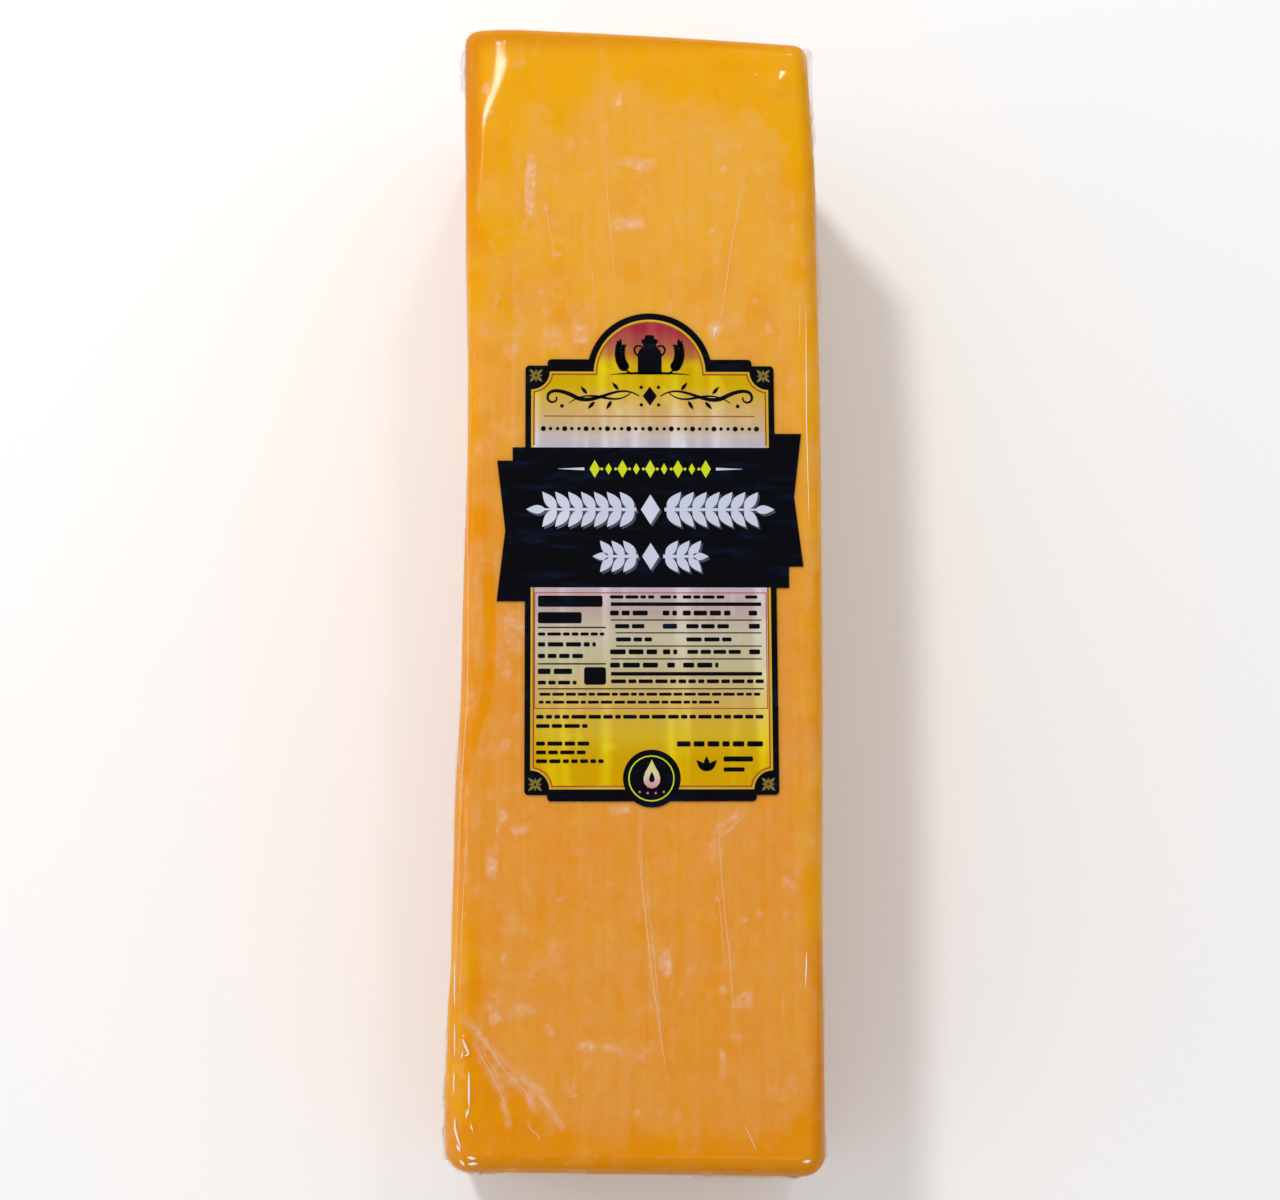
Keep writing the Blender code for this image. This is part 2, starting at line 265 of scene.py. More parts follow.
def run_tree(tree: bpy.types.GeometryNodeTree, base: Piece, name: str, values: dict) -> Piece:
    """Runs a Geometry Nodes tree on an object.

    Args:
        tree: The tree.
        base: The object that it reads, which is used up.
        name: Name of the result and its mesh.
        values: What the named inputs get.

    Returns:
        The result as a plain mesh object at the origin.
    """
    modifier = base.modifiers.new("shape", "NODES")
    modifier.node_group = tree
    for socket in tree.interface.items_tree:
        if socket.in_out == "INPUT" and socket.name in values:
            modifier[socket.identifier] = values[socket.name]
    bpy.context.view_layer.update()
    seen = base.evaluated_get(bpy.context.evaluated_depsgraph_get())
    mesh = bpy.data.meshes.new_from_object(seen)
    base.modifiers.clear()
    bpy.data.objects.remove(base, do_unlink=True)
    mesh.name = name
    return linked(name, mesh)


def thin_plates(name: str, shapes: Iterable[Shape], bottom: float, top: float) -> Piece:
    """Makes thin plates from flat shapes in metres.

    Args:
        name: Name of the object and its mesh.
        shapes: Each an outline and the holes in it.
        bottom: Height of the underside.
        top: Height of the face.

    Returns:
        The linked object, with closed shells.
    """
    points, faces = [], []
    for shape in shapes:
        rings = [np.array(ring) for ring in shape]
        for i, ring in enumerate(rings):
            after = np.roll(ring, -1, axis=0)
            area = (ring[:, 0] * after[:, 1] - after[:, 0] * ring[:, 1]).sum()
            if (area > 0.0) != (i == 0):
                rings[i] = ring[::-1]
        flat = np.concatenate(rings)
        start, count = len(points), len(flat)
        points += [(x, y, z) for z in (bottom, top) for x, y in flat]
        for cut in tessellate_polygon([[Vector((x, y, 0.0)) for x, y in ring] for ring in rings]):
            a, b, c = (flat[i] for i in cut)
            turn = (b[0] - a[0]) * (c[1] - a[1]) - (b[1] - a[1]) * (c[0] - a[0])
            up = cut if turn > 0.0 else cut[::-1]
            faces.append([start + count + i for i in up])
            faces.append([start + i for i in reversed(up)])
        for ring in rings:
            around = list(range(start, start + len(ring)))
            faces += [(i, j, j + count, i + count) for i, j in zip(around, around[1:] + around[:1])]
            start += len(ring)
    return raw_object(name, points, (), faces)


def settle_on(piece: Piece, material: Material, slot: str, *nodes: str) -> None:
    """Finishes a piece: its material, its body and the solids that it stands for.

    Args:
        piece: The finished mesh object.
        material: What it is dressed in.
        slot: The record's material slot; not used.
        nodes: CAD nodes that it replaces.
    """
    piece.data.materials.clear()
    piece.data.materials.append(material)
    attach(piece, ROOT)
    if nodes:
        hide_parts(*nodes)
    LOG.info("%s: %d faces", piece.name, len(piece.data.polygons))


class Slot(Enum):
    """The record's material slots."""

    CHEDDAR = "cheddar_in_film"
    BLACK = "label_black"
    PALE_YELLOW = "label_pale_yellow"
    YELLOW = "label_yellow"


def bag_piece(piece: Piece, material: Material) -> Piece:
    """Finishes a piece that stands for the sealed bag."""
    settle_on(piece, material, Slot.CHEDDAR.value, "sealed_bag")
    return piece


# Materials


class Wire:
    """A number socket that Python sums can be written on."""

    def __init__(self, graph: "Graph", socket: Socket) -> None:
        """Wraps one output socket of a graph."""
        self.graph = graph
        self.socket = socket

    def _sum(self, operation: str, first: "Wire | float", second: "Wire | float") -> "Wire":
        """Adds one Math node and gives its result."""
        made = self.graph.add("ShaderNodeMath", {0: first, 1: second}, operation=operation)
        return Wire(self.graph, made.outputs[0])

    def __add__(self, other: "Wire | float") -> "Wire":
        """Self plus other."""
        return self._sum("ADD", self, other)

    def __sub__(self, other: "Wire | float") -> "Wire":
        """Self minus other."""
        return self._sum("SUBTRACT", self, other)

    def __rsub__(self, other: float) -> "Wire":
        """Other minus self."""
        return self._sum("SUBTRACT", other, self)

    def __mul__(self, other: "Wire | float") -> "Wire":
        """Self times other."""
        return self._sum("MULTIPLY", self, other)

    __radd__ = __add__
    __rmul__ = __mul__

    def at_most(self, limit: "Wire | float") -> "Wire":
        """Self, held below a limit."""
        return self._sum("MINIMUM", self, limit)

    def eased(self, low: float, high: float) -> "Wire":
        """Eases self from 0 at low to 1 at high.

        Args:
            low: Where the rise starts.
            high: Where it ends.

        Returns:
            The eased wire.
        """
        values = {"Value": self, "From Min": low, "From Max": high}
        made = self.graph.add("ShaderNodeMapRange", values, interpolation_type="SMOOTHSTEP")
        return Wire(self.graph, made.outputs["Result"])


class Graph(Writer):
    """One material's node tree."""

    def __init__(self, name: str) -> None:
        """Starts an empty material of that name.

        Args:
            name: The material's name.
        """
        self.made = bpy.data.materials.new(name)
        self.made.use_nodes = True
        self.tree = self.made.node_tree
        self.tree.nodes.clear()
        self.place = self.add("ShaderNodeTexCoord").outputs["Object"]

    def noise(self, per_metre: float, detail: float = 2.0, stretch: float = 1.0, rough: float = 0.5) -> Wire:
        """A noise pattern over the piece, about 0.5 on average.

        Args:
            per_metre: How many features it has in a metre.
            detail: How many finer layers are added.
            stretch: How many times longer the features are along Y.
            rough: How strong each finer layer is.

        Returns:
            The pattern's value.
        """
        place = self.place
        if stretch != 1.0:
            values = {"Vector": place, "Scale": (1.0, 1.0 / stretch, 1.0)}
            place = self.add("ShaderNodeMapping", values).outputs["Vector"]
        values = {"Vector": place, "Scale": per_metre, "Detail": detail, "Roughness": rough}
        return Wire(self, self.add("ShaderNodeTexNoise", values).outputs["Fac"])

    def read(self, name: str) -> Wire:
        """A number that the mesh carries for each vertex."""
        return Wire(self, self.add("ShaderNodeAttribute", attribute_name=name).outputs["Fac"])

    def blend(self, share: Wire, first: Socket | Colour, second: Socket | Colour) -> Socket:
        """Mixes two colours.

        Args:
            share: How much of the second.
            first: A link or a plain colour.
            second: The same.

        Returns:
            The mixed colour.
        """
        ends = [end if isinstance(end, Socket) else (*end, 1.0) for end in (first, second)]
        values = {"Factor": share, 6: ends[0], 7: ends[1]}
        return self.add("ShaderNodeMix", values, data_type="RGBA").outputs[2]

    def bump(self, height: Wire, depth: float, strength: float) -> Socket:
        """A normal roughened by a height pattern, depth in millimetres."""
        values = {"Height": height, "Distance": depth * MILLIMETRE, "Strength": strength}
        return self.add("ShaderNodeBump", values).outputs["Normal"]

    def milk(self, hides: Wire, tint: Socket | Colour, roughness: float) -> Socket:
        """A matt milky layer that hides a share of what lies behind it.

        Args:
            hides: The share.
            tint: Its colour, as a link or a plain one with alpha.
            roughness: How matt it is.

        Returns:
            The shader.
        """
        values = {"Base Color": tint, "Roughness": roughness, "Specular IOR Level": 0.0}
        milk = self.add("ShaderNodeBsdfPrincipled", values).outputs[0]
        clear = self.add("ShaderNodeBsdfTransparent").outputs[0]
        return self.add("ShaderNodeMixShader", {0: hides, 1: clear, 2: milk}).outputs[0]

    def finish(self, shader: Socket) -> Material:
        """Links the last shader to the material's output."""
        self.add("ShaderNodeOutputMaterial", {"Surface": shader})
        return self.made

    def principled(self, values: dict) -> Material:
        """Ends the material with one Principled shader."""
        return self.finish(self.add("ShaderNodeBsdfPrincipled", values).outputs[0])


@dataclass(frozen=True)
class CheddarFinish:
    """Annatto-coloured cheddar, with its faint curd pattern and with light and shade painted into its colour.

    Attributes:
        shaded_colour: Colour towards the near end, painted darker as if less lit.
        lit_colour: Colour towards the far end, painted lighter as if lit.
        rim: Colour of the painted shade along the turned-down edges, darkest of all.
        curd: How strongly the curd pattern shows.
        grain: How strongly the finer grain shows.
    """

    shaded_colour: Colour = (0.75, 0.270, 0.0008)
    lit_colour: Colour = (0.79, 0.375, 0.002)
    rim: Colour = (0.60, 0.190, 0.0004)
    curd: float = 0.55
    grain: float = 0.5

    def material(self) -> Material:
        """Makes the cheese's material, which reads far_share and rim_share from the mesh: painted light
        towards the far end and painted shade along the rims.

        Returns:
            The material.
        """
        graph = Graph("cheddar")
        curds = graph.noise(75.0, 4.0, 1.0, 0.62).eased(0.32, 0.68)
        grain = graph.noise(420.0)
        # Painted light and shade: the tone runs from the shaded to the lit colour, then the painted rim shade
        # is mixed in.
        tone = graph.read("far_share") + (curds - 0.5) * self.curd + (grain - 0.5) * self.grain
        faced = graph.blend(tone.eased(-0.1, 1.1), self.shaded_colour, self.lit_colour)
        return graph.principled(
            {
                "Base Color": graph.blend(graph.read("rim_share"), faced, self.rim),
                "Roughness": grain * 0.12 + 0.34,
                "Normal": graph.bump(curds * 0.4 + grain * 0.6, 0.12, 0.25),
                "Subsurface Weight": 0.25,
                "Subsurface Radius": (1.0, 0.42, 0.08),
                "Subsurface Scale": 0.004,
                "Specular IOR Level": 0.03,
            }
        )


@dataclass(frozen=True)
class FilmFinish:
    """Clear shrink film over cheese: hazy where it lies slack, glassy where it clings.

    Attributes:
        veil: Colour of the haze.
        pocket: Colour of air caught under the film.
        haze: How much of what lies behind the haze hides.
        hidden: How much of it an air pocket hides on top of that.
        base: How much the bare film hides.
        specks: How much its small milky specks hide.
        gloss_limit: The most that it mirrors at a glance.
        wall_gloss: How much more than that it may mirror on the upright faces.
        gloss_index: Refractive index that sets how much the film shines.
        ripple_depth: Depth of its fine waves in millimetres.
        roughness: How blurred its mirror is.
    """

    name: str = "cling_film"
    veil: Colour = (0.92, 0.63, 0.22)
    pocket: Colour = (0.97, 0.67, 0.44)
    haze: float = 0.17
    hidden: float = 0.31
    base: float = 0.0
    specks: float = 0.10
    gloss_limit: float = 0.07
    wall_gloss: float = 0.35
    gloss_index: float = 1.33
    ripple_depth: float = 0.14
    roughness: float = 0.11

    def material(self) -> Material:
        """Makes the film's material, which reads veil, pocket and wall from the mesh.

        Returns:
            The material.
        """
        graph = Graph(self.name)
        cloud = graph.noise(70.0, 3.0)
        fleck = graph.noise(520.0, 3.0)
        draw = graph.noise(160.0, 2.0, 14.0)
        smear = graph.noise(38.0, 3.0, 3.0)
        slack = (graph.read("veil") + (smear - 0.5) * 0.7).eased(0.12, 0.95)
        air = (graph.read("pocket") + (fleck - 0.5) * 0.34 + (cloud - 0.5) * 0.24).eased(0.08, 0.86)
        lines = graph.noise(300.0, 2.0, 30.0).eased(0.56, 0.80)
        mottle = graph.noise(330.0, 4.0, 1.5, 0.7)
        threads = graph.noise(800.0, 1.0, 50.0)
        uneven = (cloud - 0.5) * 0.7 + (mottle - 0.5) * 1.7 + (draw - 0.5) * 0.5
        uneven = uneven + lines * 0.5 + (threads - 0.5) * 0.7
        hides = (slack * (0.84 + uneven) + 0.10 + uneven * 0.45) * self.haze
        specks = graph.noise(210.0, 3.0, 1.6).eased(0.60, 0.80)
        flecked = 0.45 + fleck.eased(0.36, 0.66) * 0.7
        hides = hides + air * flecked * self.hidden + specks * self.specks + self.base
        body = graph.milk(hides, graph.blend(air + specks, self.veil, self.pocket), 0.55)
        ripple = draw * 0.7 + graph.noise(60.0, 1.0) * 0.9 + air * 0.25
        normal = graph.bump(ripple, self.ripple_depth, 0.5)
        values = {"Color": (1.0, 1.0, 1.0, 1.0), "Roughness": self.roughness, "Normal": normal}
        shine = graph.add("ShaderNodeBsdfGlossy", values).outputs[0]
        values = {"IOR": self.gloss_index, "Normal": normal}
        edge = Wire(graph, graph.add("ShaderNodeFresnel", values).outputs[0])
        held = edge.at_most(graph.read("wall") * self.wall_gloss + self.gloss_limit)
        return graph.finish(graph.add("ShaderNodeMixShader", {0: held, 1: body, 2: shine}).outputs[0])


@dataclass(frozen=True)
class CreaseFinish:
    """Film folded on itself: milky and pale. The whitest kind paints highlights: glints along the rims shown
    as near-white folds.

    Attributes:
        colour: What it adds to the cheese below.
        hidden: How much one layer hides.
    """

    name: str
    colour: Colour
    hidden: float

    def material(self) -> Material:
        """Makes the fold's material."""
        graph = Graph(self.name)
        return graph.finish(graph.milk((graph.noise(260.0) + 0.5) * self.hidden, (*self.colour, 1.0), 0.5))


@dataclass(frozen=True)
class PrintFinish:
    """Flat printing ink on the film, with streaks of painted reflection in a second colour.

    Attributes:
        sheen_colour: Colour of the streaks of painted reflection.
        roughness: How matt it is.
        shine: How strongly it mirrors the room.
        stretch: How many times longer the streaks are along Y.
    """

    name: str
    colour: Colour
    sheen_colour: Colour
    roughness: float = 0.3
    shine: float = 0.2
    stretch: float = 4.0

    def material(self) -> Material:
        """Makes the ink's material.

        Returns:
            The material.
        """
        graph = Graph(self.name)
        # Painted reflection: streaks of the second colour stand for the film's sheen over the ink.
        thin = graph.noise(110.0, 2.0, self.stretch).eased(0.48, 0.85)
        return graph.principled(
            {
                "Base Color": graph.blend(thin, self.colour, self.sheen_colour),
                "Roughness": thin * 0.15 + self.roughness,
                "Normal": graph.bump(graph.noise(90.0, 2.0, 5.0), 0.3, 0.3),
                "Specular IOR Level": self.shine,
            }
        )


@dataclass(frozen=True)
class FieldFinish:
    """A printed field whose colour changes up the label, with lighter streaks of painted reflection from the
    film over it.

    Attributes:
        stops: Height on the label in millimetres, colour and colour in a streak, from the bottom up.
        sheen_strength: How strongly the streaks of painted reflection show.
    """

    name: str
    stops: tuple[tuple[float, Colour, Colour], ...]
    sheen_strength: float = 0.64

    def ramp(self, graph: Graph, height: Wire, kind: int) -> Socket:
        """Makes the field's colours as a ramp over its height.

        Args:
            graph: The material's graph.
            height: Share of the way up the field.
            kind: 1 for the plain colours, 2 for those in a streak.

        Returns:
            The colour at that height.
        """
        low, high = self.stops[0][0], self.stops[-1][0]
        ramp = graph.add("ShaderNodeValToRGB", {"Fac": height})
        marks = ramp.color_ramp.elements
        while len(marks) < len(self.stops):
            marks.new(0.5)
        for element, stop in zip(marks, self.stops):
            element.position = (stop[0] - low) / (high - low)
            element.color = (*stop[kind], 1.0)
        return ramp.outputs["Color"]

    def material(self) -> Material:
        """Makes the field's material.

        Returns:
            The material.
        """
        graph = Graph(self.name)
        low, high = self.stops[0][0], self.stops[-1][0]
        axes = graph.add("ShaderNodeSeparateXYZ", {0: graph.place})
        wander = (graph.noise(40.0) - 0.5) * 0.05
        tall = high - low
        height = Wire(graph, axes.outputs["Y"]) * (1.0 / MILLIMETRE / tall) - low / tall + wander
        # Painted reflection: long streaks and small spots in the lighter streak colours.
        broad = graph.noise(150.0, 2.0, 14.0).eased(0.47, 0.68)
        spots = graph.noise(260.0, 1.0, 1.3).eased(0.62, 0.74)
        share = (broad * 0.95 + spots * 0.3) * self.sheen_strength
        return graph.principled(
            {
                "Base Color": graph.blend(share, self.ramp(graph, height, 1), self.ramp(graph, height, 2)),
                "Roughness": broad * 0.1 + 0.3,
                "Normal": graph.bump(graph.noise(90.0, 2.0, 5.0), 0.3, 0.3),
                "Specular IOR Level": 0.03,
            }
        )


# The loaf and its film


@dataclass(frozen=True)
class LoafForm:
    """The loaf's rounded block, a little out of square, as a map from a unit cube's skin.

    Attributes:
        radius_start: Share of the way to an end where the edges' radius starts to change.
        corner_power: How square the far corners are from above; 2 is round.
        flat_share: Share of the unit cube's face that is flat.
        end_shear_start: Share of the way to an end where it starts to lean.
        left_side: Place along, and how far the left side stands out there.
        slump_start: Place along, and where the top starts to sink towards the left edge.
        slump_bend: Place along, and how sharply it sinks.
        dents: Low swellings of the top: place across and along, radius and height.
    """

    width: float = 87.0
    length: float = 279.3
    height: float = 86.0
    radius_middle: float = 4.6
    radius_ends: float = 5.6
    radius_start: float = 0.55
    corner_power: float = 3.4
    flat_share: float = 0.8
    end_shear_start: float = 0.5
    near_end_angle: float = math.radians(0.86)
    far_end_angle: float = math.radians(2.68)
    far_end_bow: float = 0.4
    left_side: Stations = (
        (-140.0, 2.0), (-124.0, 2.3), (-104.0, 1.9), (-90.0, 1.25), (-60.0, 0.85), (-20.0, -0.5),
        (40.0, -1.4), (100.0, -0.35), (120.0, 0.1), (140.0, 0.5),
    )
    right_side: Stations = (
        (-140.0, -0.1), (-95.0, -0.1), (-5.0, 0.8), (40.0, 1.0), (100.0, 0.4), (140.0, -1.2),
    )
    slump_start: Stations = ((-140.0, -33.0), (-104.0, -38.0), (92.0, -39.5), (111.0, -36.0), (134.0, -28.8))
    slump_bend: Stations = (
        (-140.0, 0.03), (-110.0, 0.02), (-96.0, 0.0), (84.0, 0.0), (106.0, 0.045), (134.0, 0.029),
    )
    slump_floor: float = 48.0
    dents: tuple[tuple[float, float, float, float], ...] = (
        (34.2, 125.6, 4.6, 0.5), (28.3, 127.0, 2.0, 0.27), (-30.0, -127.0, 6.0, 0.25),
        (38.2, -134.0, 3.0, 0.25), (30.5, -56.0, 5.0, 0.12),
    )

    @property
    def half(self) -> np.ndarray:
        """Half the width, length and height."""
        return np.array([self.width, self.length, self.height]) / 2.0

    def skin(self, unit: np.ndarray, inset: float = 0.0) -> np.ndarray:
        """Places points of the unit cube's skin on the loaf.

        Args:
            unit: Points on the skin of the cube from -1 to 1.
            inset: How far inside the form the result lies.

        Returns:
            The places in millimetres.
        """
        ends = rise(np.abs(unit[:, 1]), self.radius_start, 1.0)
        radii = (self.radius_middle + (self.radius_ends - self.radius_middle) * ends)[:, None]
        size, side = np.abs(unit), np.sign(unit)
        core = side * np.minimum(size / self.flat_share, 1.0) * (self.half - radii)
        over = np.maximum(size - self.flat_share, 0.0) / (1.0 - self.flat_share)
        lean = side * np.tan(over * math.radians(45.0))
        lean /= np.linalg.norm(lean, axis=1)[:, None]
        lean[:, :2] *= self.squaring(unit, lean)[:, None]
        points = core + lean * (radii - inset)
        points[:, 2] += self.half[2]
        return self.slumped(self.settled(points))

    def squaring(self, unit: np.ndarray, lean: np.ndarray) -> np.ndarray:
        """Makes the far corners squarer seen from above.

        Args:
            unit: Points on the unit cube's skin.
            lean: Which way each lies from the middle of its rounded edge.

        Returns:
            How many times further out each is pushed.
        """
        power = self.corner_power
        flat = np.hypot(lean[:, 0], lean[:, 1])
        reach = (np.abs(lean[:, 0]) ** power + np.abs(lean[:, 1]) ** power) ** (1.0 / power)
        square = np.maximum(flat, 1e-6) / np.maximum(reach, 1e-6)
        return 1.0 + (square - 1.0) * smooth_step(unit[:, 1] * 2.0)

    def slumped(self, points: np.ndarray) -> np.ndarray:
        """Lets the top sink towards the left edge where it is rubbed down, and rise in a few low swellings.

        Args:
            points: Points in millimetres, one row each.

        Returns:
            The points, moved.
        """
        x, y, z = points.T
        drop = between(self.slump_bend, y) * np.maximum(between(self.slump_start, y) - x, 0.0) ** 2 / 2.0
        for across, along, radius, height in self.dents:
            away = np.hypot(x - across, y - along) / radius
            drop -= height * np.where(away < 1.0, (1.0 - away**2) ** 2, 0.0)
        return np.stack([x, y, z - drop * rise(z, self.slump_floor, self.height)], axis=1)

    def settled(self, points: np.ndarray) -> np.ndarray:
        """Moves points of the square block to the loaf's true sides and ends.

        Args:
            points: Points in millimetres, one row each.

        Returns:
            The points, moved.
        """
        x, y, z = points.T
        across = np.minimum(np.abs(x) / self.half[0], 1.0)
        sides = np.where(x < 0.0, -between(self.left_side, y), between(self.right_side, y)) * across
        far = self.far_end_bow * (1.0 - across**2) - x * math.tan(self.far_end_angle)
        ends = np.where(y > 0.0, far, -x * math.tan(self.near_end_angle))
        shear = rise(np.abs(y) / self.half[1], self.end_shear_start, 1.0)
        return np.stack([x + sides, y + ends * shear, z], axis=1)

    def side_face(self, side: int, places: np.ndarray) -> np.ndarray:
        """Gives the X of a long side at places along the loaf."""
        return side * (self.half[0] + between(self.right_side if side > 0 else self.left_side, places))

    def end_face(self, end: int, across: np.ndarray) -> np.ndarray:
        """Gives the Y of an end at places across the loaf."""
        points = [across, np.full_like(across, end * self.half[1]), np.zeros_like(across)]
        return self.settled(np.stack(points, axis=1))[:, 1]


@dataclass(frozen=True)
class SkinGrid:
    """A closed grid of quads over the unit cube's skin, finer where the film folds.

    Attributes:
        form: The loaf's form.
        runs: For each axis, runs of flat cells: end place in millimetres and cell size.
        round_cells: Cells from the flat to the middle of a rounded edge.
    """

    form: LoafForm
    runs: tuple[Stations, Stations, Stations]
    round_cells: int = 6

    def ticks(self, half: float, runs: Stations) -> np.ndarray:
        """Gives the cell lines of one axis.

        Args:
            half: Half the loaf's size along it.
            runs: Its runs of flat cells.

        Returns:
            The lines, as places from -1 to 1.
        """
        flat = self.form.flat_share
        lines = [-flat]
        start = -half
        for end, size in runs:
            cells = max(1, round((end - start) / size))
            lines += [flat * (start + (end - start) * i / cells) / half for i in range(1, cells + 1)]
            start = end
        rim = [flat + (1.0 - flat) * i / self.round_cells for i in range(1, self.round_cells + 1)]
        return np.array([-place for place in reversed(rim)] + lines + rim)

    def unit_skin(self) -> tuple[np.ndarray, np.ndarray]:
        """Makes the grid.

        Returns:
            The points on the unit cube's skin, and the quads.
        """
        lines = [self.ticks(half, runs) for half, runs in zip(self.form.half, self.runs)]
        counts = [len(line) for line in lines]
        quads = []
        for axis in range(3):
            first, second = (axis + 1) % 3, (axis + 2) % 3
            i, j = np.meshgrid(np.arange(counts[first] - 1), np.arange(counts[second] - 1), indexing="ij")
            i, j = i.ravel(), j.ravel()
            for end in (0, counts[axis] - 1):
                quad = []
                for a, b in ((i, j), (i + 1, j), (i + 1, j + 1), (i, j + 1)):
                    index = {axis: np.full_like(a, end), first: a, second: b}
                    quad.append((index[0] * counts[1] + index[1]) * counts[2] + index[2])
                quads.append(np.stack(quad if end else quad[::-1], axis=1))
        used, faces = np.unique(np.concatenate(quads), return_inverse=True)
        places = np.unravel_index(used, counts)
        return np.stack([line[place] for line, place in zip(lines, places)], axis=1), faces.reshape(-1, 4)


@dataclass(frozen=True)
class Ridge:
    """One fine fold in the film.

    Attributes:
        path: Points of its line, in millimetres.
        girth: Radius of its thickest part.
        facing: Which way it is laid on the film, from outside.
        mist: How milky the film is beside it.
        band: Half the width of that milky band.
    """

    path: tuple[Point, ...]
    girth: float
    facing: Point = (0.0, 0.0, -1.0)
    mist: float = 0.0
    band: float = 1.0


def top_ridge(girth: float, mist: float, band: float, places: Iterable[Place]) -> Ridge:
    """A fold on the top face through places across and along."""
    return Ridge(tuple((x, y, 86.0) for x, y in places), girth, mist=mist, band=band)


# Folds of the top face: girth, mist, half the width of the mist, and places across and along
TOP_RIDGES = tuple(
    top_ridge(girth, mist, band, places)
    for girth, mist, band, *places in (
        (0.15, 0.3, 1.2, (0.3, -54.1), (0.1, -64.5), (0.5, -73.9), (1.5, -83.2), (2.4, -92.5),
         (3.8, -101.8), (5.1, -111), (6.5, -120.8)),
        (0.1, 0.25, 1.4, (1.7, -75.1), (2.4, -82.1), (3.3, -90.2), (4, -99.5), (4.7, -108.7)),
        (0.07, 0, 1, (-0.1, -55.6), (-0.4, -63.3), (0.1, -71.6), (1, -79.7)),
        (0.13, 0.25, 1.1, (18.5, -53.6), (18.7, -64.5), (19.1, -71.5), (20, -80.9), (20.9, -90.2),
         (21.5, -99.5), (21.9, -106.4)),
        (0.08, 0, 1, (18, -69.2), (18.4, -76.2), (19, -83.2), (19.7, -91.4)),
        (0.12, 0.45, 1.2, (24.4, -56.2), (22, -58.8), (19.2, -61.2), (16.8, -63.3)),
        (0.13, 0.25, 0.9, (26.7, 105.7), (24.6, 95.4), (22.3, 82.6), (20.5, 69.9), (19, 62.3), (18, 58.5)),
        (0.08, 0.2, 1.1, (-8.6, 111.9), (-7.9, 95.1), (-6.6, 79.8), (-5.9, 69.7)),
        (0.07, 0.2, 1.2, (-11.8, 79.2), (-11, 65.8)),
        (0.12, 0.3, 0.9, (-23.1, 93.4), (-22.1, 86.8), (-20.6, 80.7)),
        (0.07, 0.2, 0.9, (-12.5, 69.6), (-11.7, 68.1), (-10.3, 67.1)),
        (0.15, 0.66, 1.8, (-41.1, -104), (-39.2, -105.9), (-36.7, -108.6), (-35, -110.9), (-31.7, -115.5),
         (-28, -119.2), (-25.7, -121.9), (-24.3, -124.6)),
        (0.07, 0.55, 1.8, (-36.4, -109.6), (-33.4, -112.3), (-29.4, -116), (-24.8, -119.2), (-22, -123.3),
         (-19.6, -126), (-18.5, -128.7)),
        (0.14, 0.62, 1.7, (-38.3, -109.6), (-36.8, -112.8), (-35, -116), (-33.1, -119.6), (-31.9, -122.3),
         (-31.2, -126), (-30.5, -127.8)),
        (0.07, 0.55, 2, (-37.3, -110), (-35.2, -113.7), (-33.3, -116.9), (-31.7, -120.1)),
        (0.12, 0.35, 1.1, (-26.3, -127.1), (-25.4, -129.2), (-24, -130.1), (-23.1, -131.6)),
        (0.16, 0.2, 1, (23.9, -127.9), (25.2, -130.6), (26.8, -134.2)),
        (0.16, 0.3, 0.9, (38.7, -89.3), (38.6, -97.1)),
        (0.1, 0.2, 0.9, (33.2, -98.3), (33.2, -103.6)),
        (0.12, 0.2, 0.9, (39.1, 70), (39, 59.4)),
        (0.13, 0.5, 0.9, (-42, 69.4), (-41.9, 39.3), (-41.7, 19.5), (-41.2, -4), (-41.2, -29),
         (-41.8, -38.6), (-42.5, -52.8), (-43, -75), (-43.3, -99.4)),
        (0.10, 0.3, 0.7, (-41, -60), (-41.8, -80), (-42.2, -104)),
    )
)
# Painted highlights, glints along the rims and corners shown as near-white folds: girth, and places across
# and along
EDGE_GLINTS = tuple(
    top_ridge(girth, 0.0, 1.0, places)
    for girth, *places in (
        (0.15, (-43.4, -104.6), (-43.3, -108), (-43.3, -112.6)),
        (0.17, (-43.3, -115.8), (-43.4, -118.5), (-43.4, -121.2)),
        (0.26, (-43.2, -126.2), (-43, -129), (-42.4, -131.2), (-41.6, -133.4)),
        (0.3, (-41.5, -108.2), (-40.6, -110.4), (-39.8, -112), (-41.2, -112.4)),
        (0.20, (-41.3, -111.2), (-41.7, -113)),
        (0.26, (-39.9, -115.8), (-39.8, -120), (-39.8, -124.4)),
        (0.34, (-39.8, -124.2), (-40.2, -125.4), (-40.5, -126.6)),
        (0.18, (-39.4, -127.6), (-38.8, -129.6)),
        (0.42, (-40.2, -135.4), (-39.2, -135.6), (-38, -135.7)),
        (0.38, (-40, -137), (-39, -136.9), (-37.6, -136.8)),
        (0.30, (-40, -136.2), (-39.7, -136.7)),
        (0.36, (-42, -136), (-41.2, -136.8), (-40.8, -137.4)),
        (0.26, (-42.4, -132.4), (-42.2, -133)),
        (0.36, (-42.6, -132.4), (-42.2, -133.4), (-41.8, -134.2)),
        (0.16, (-43.5, -90), (-43.5, -96), (-43.4, -101)),
        (0.45, (37.4, -136.6), (38.6, -136.5), (39.6, -136.3)),
        (0.16, (38.9, -88), (38.8, -92), (38.5, -96.6)),
        (0.12, (40.6, 70), (40.4, 40), (40.8, 12)),
        (0.24, (27.9, 127), (28.4, 127.7), (28.9, 128.5)),
        (0.16, (18.9, 64), (18.2, 61.8), (18, 60.4)),
    )
)


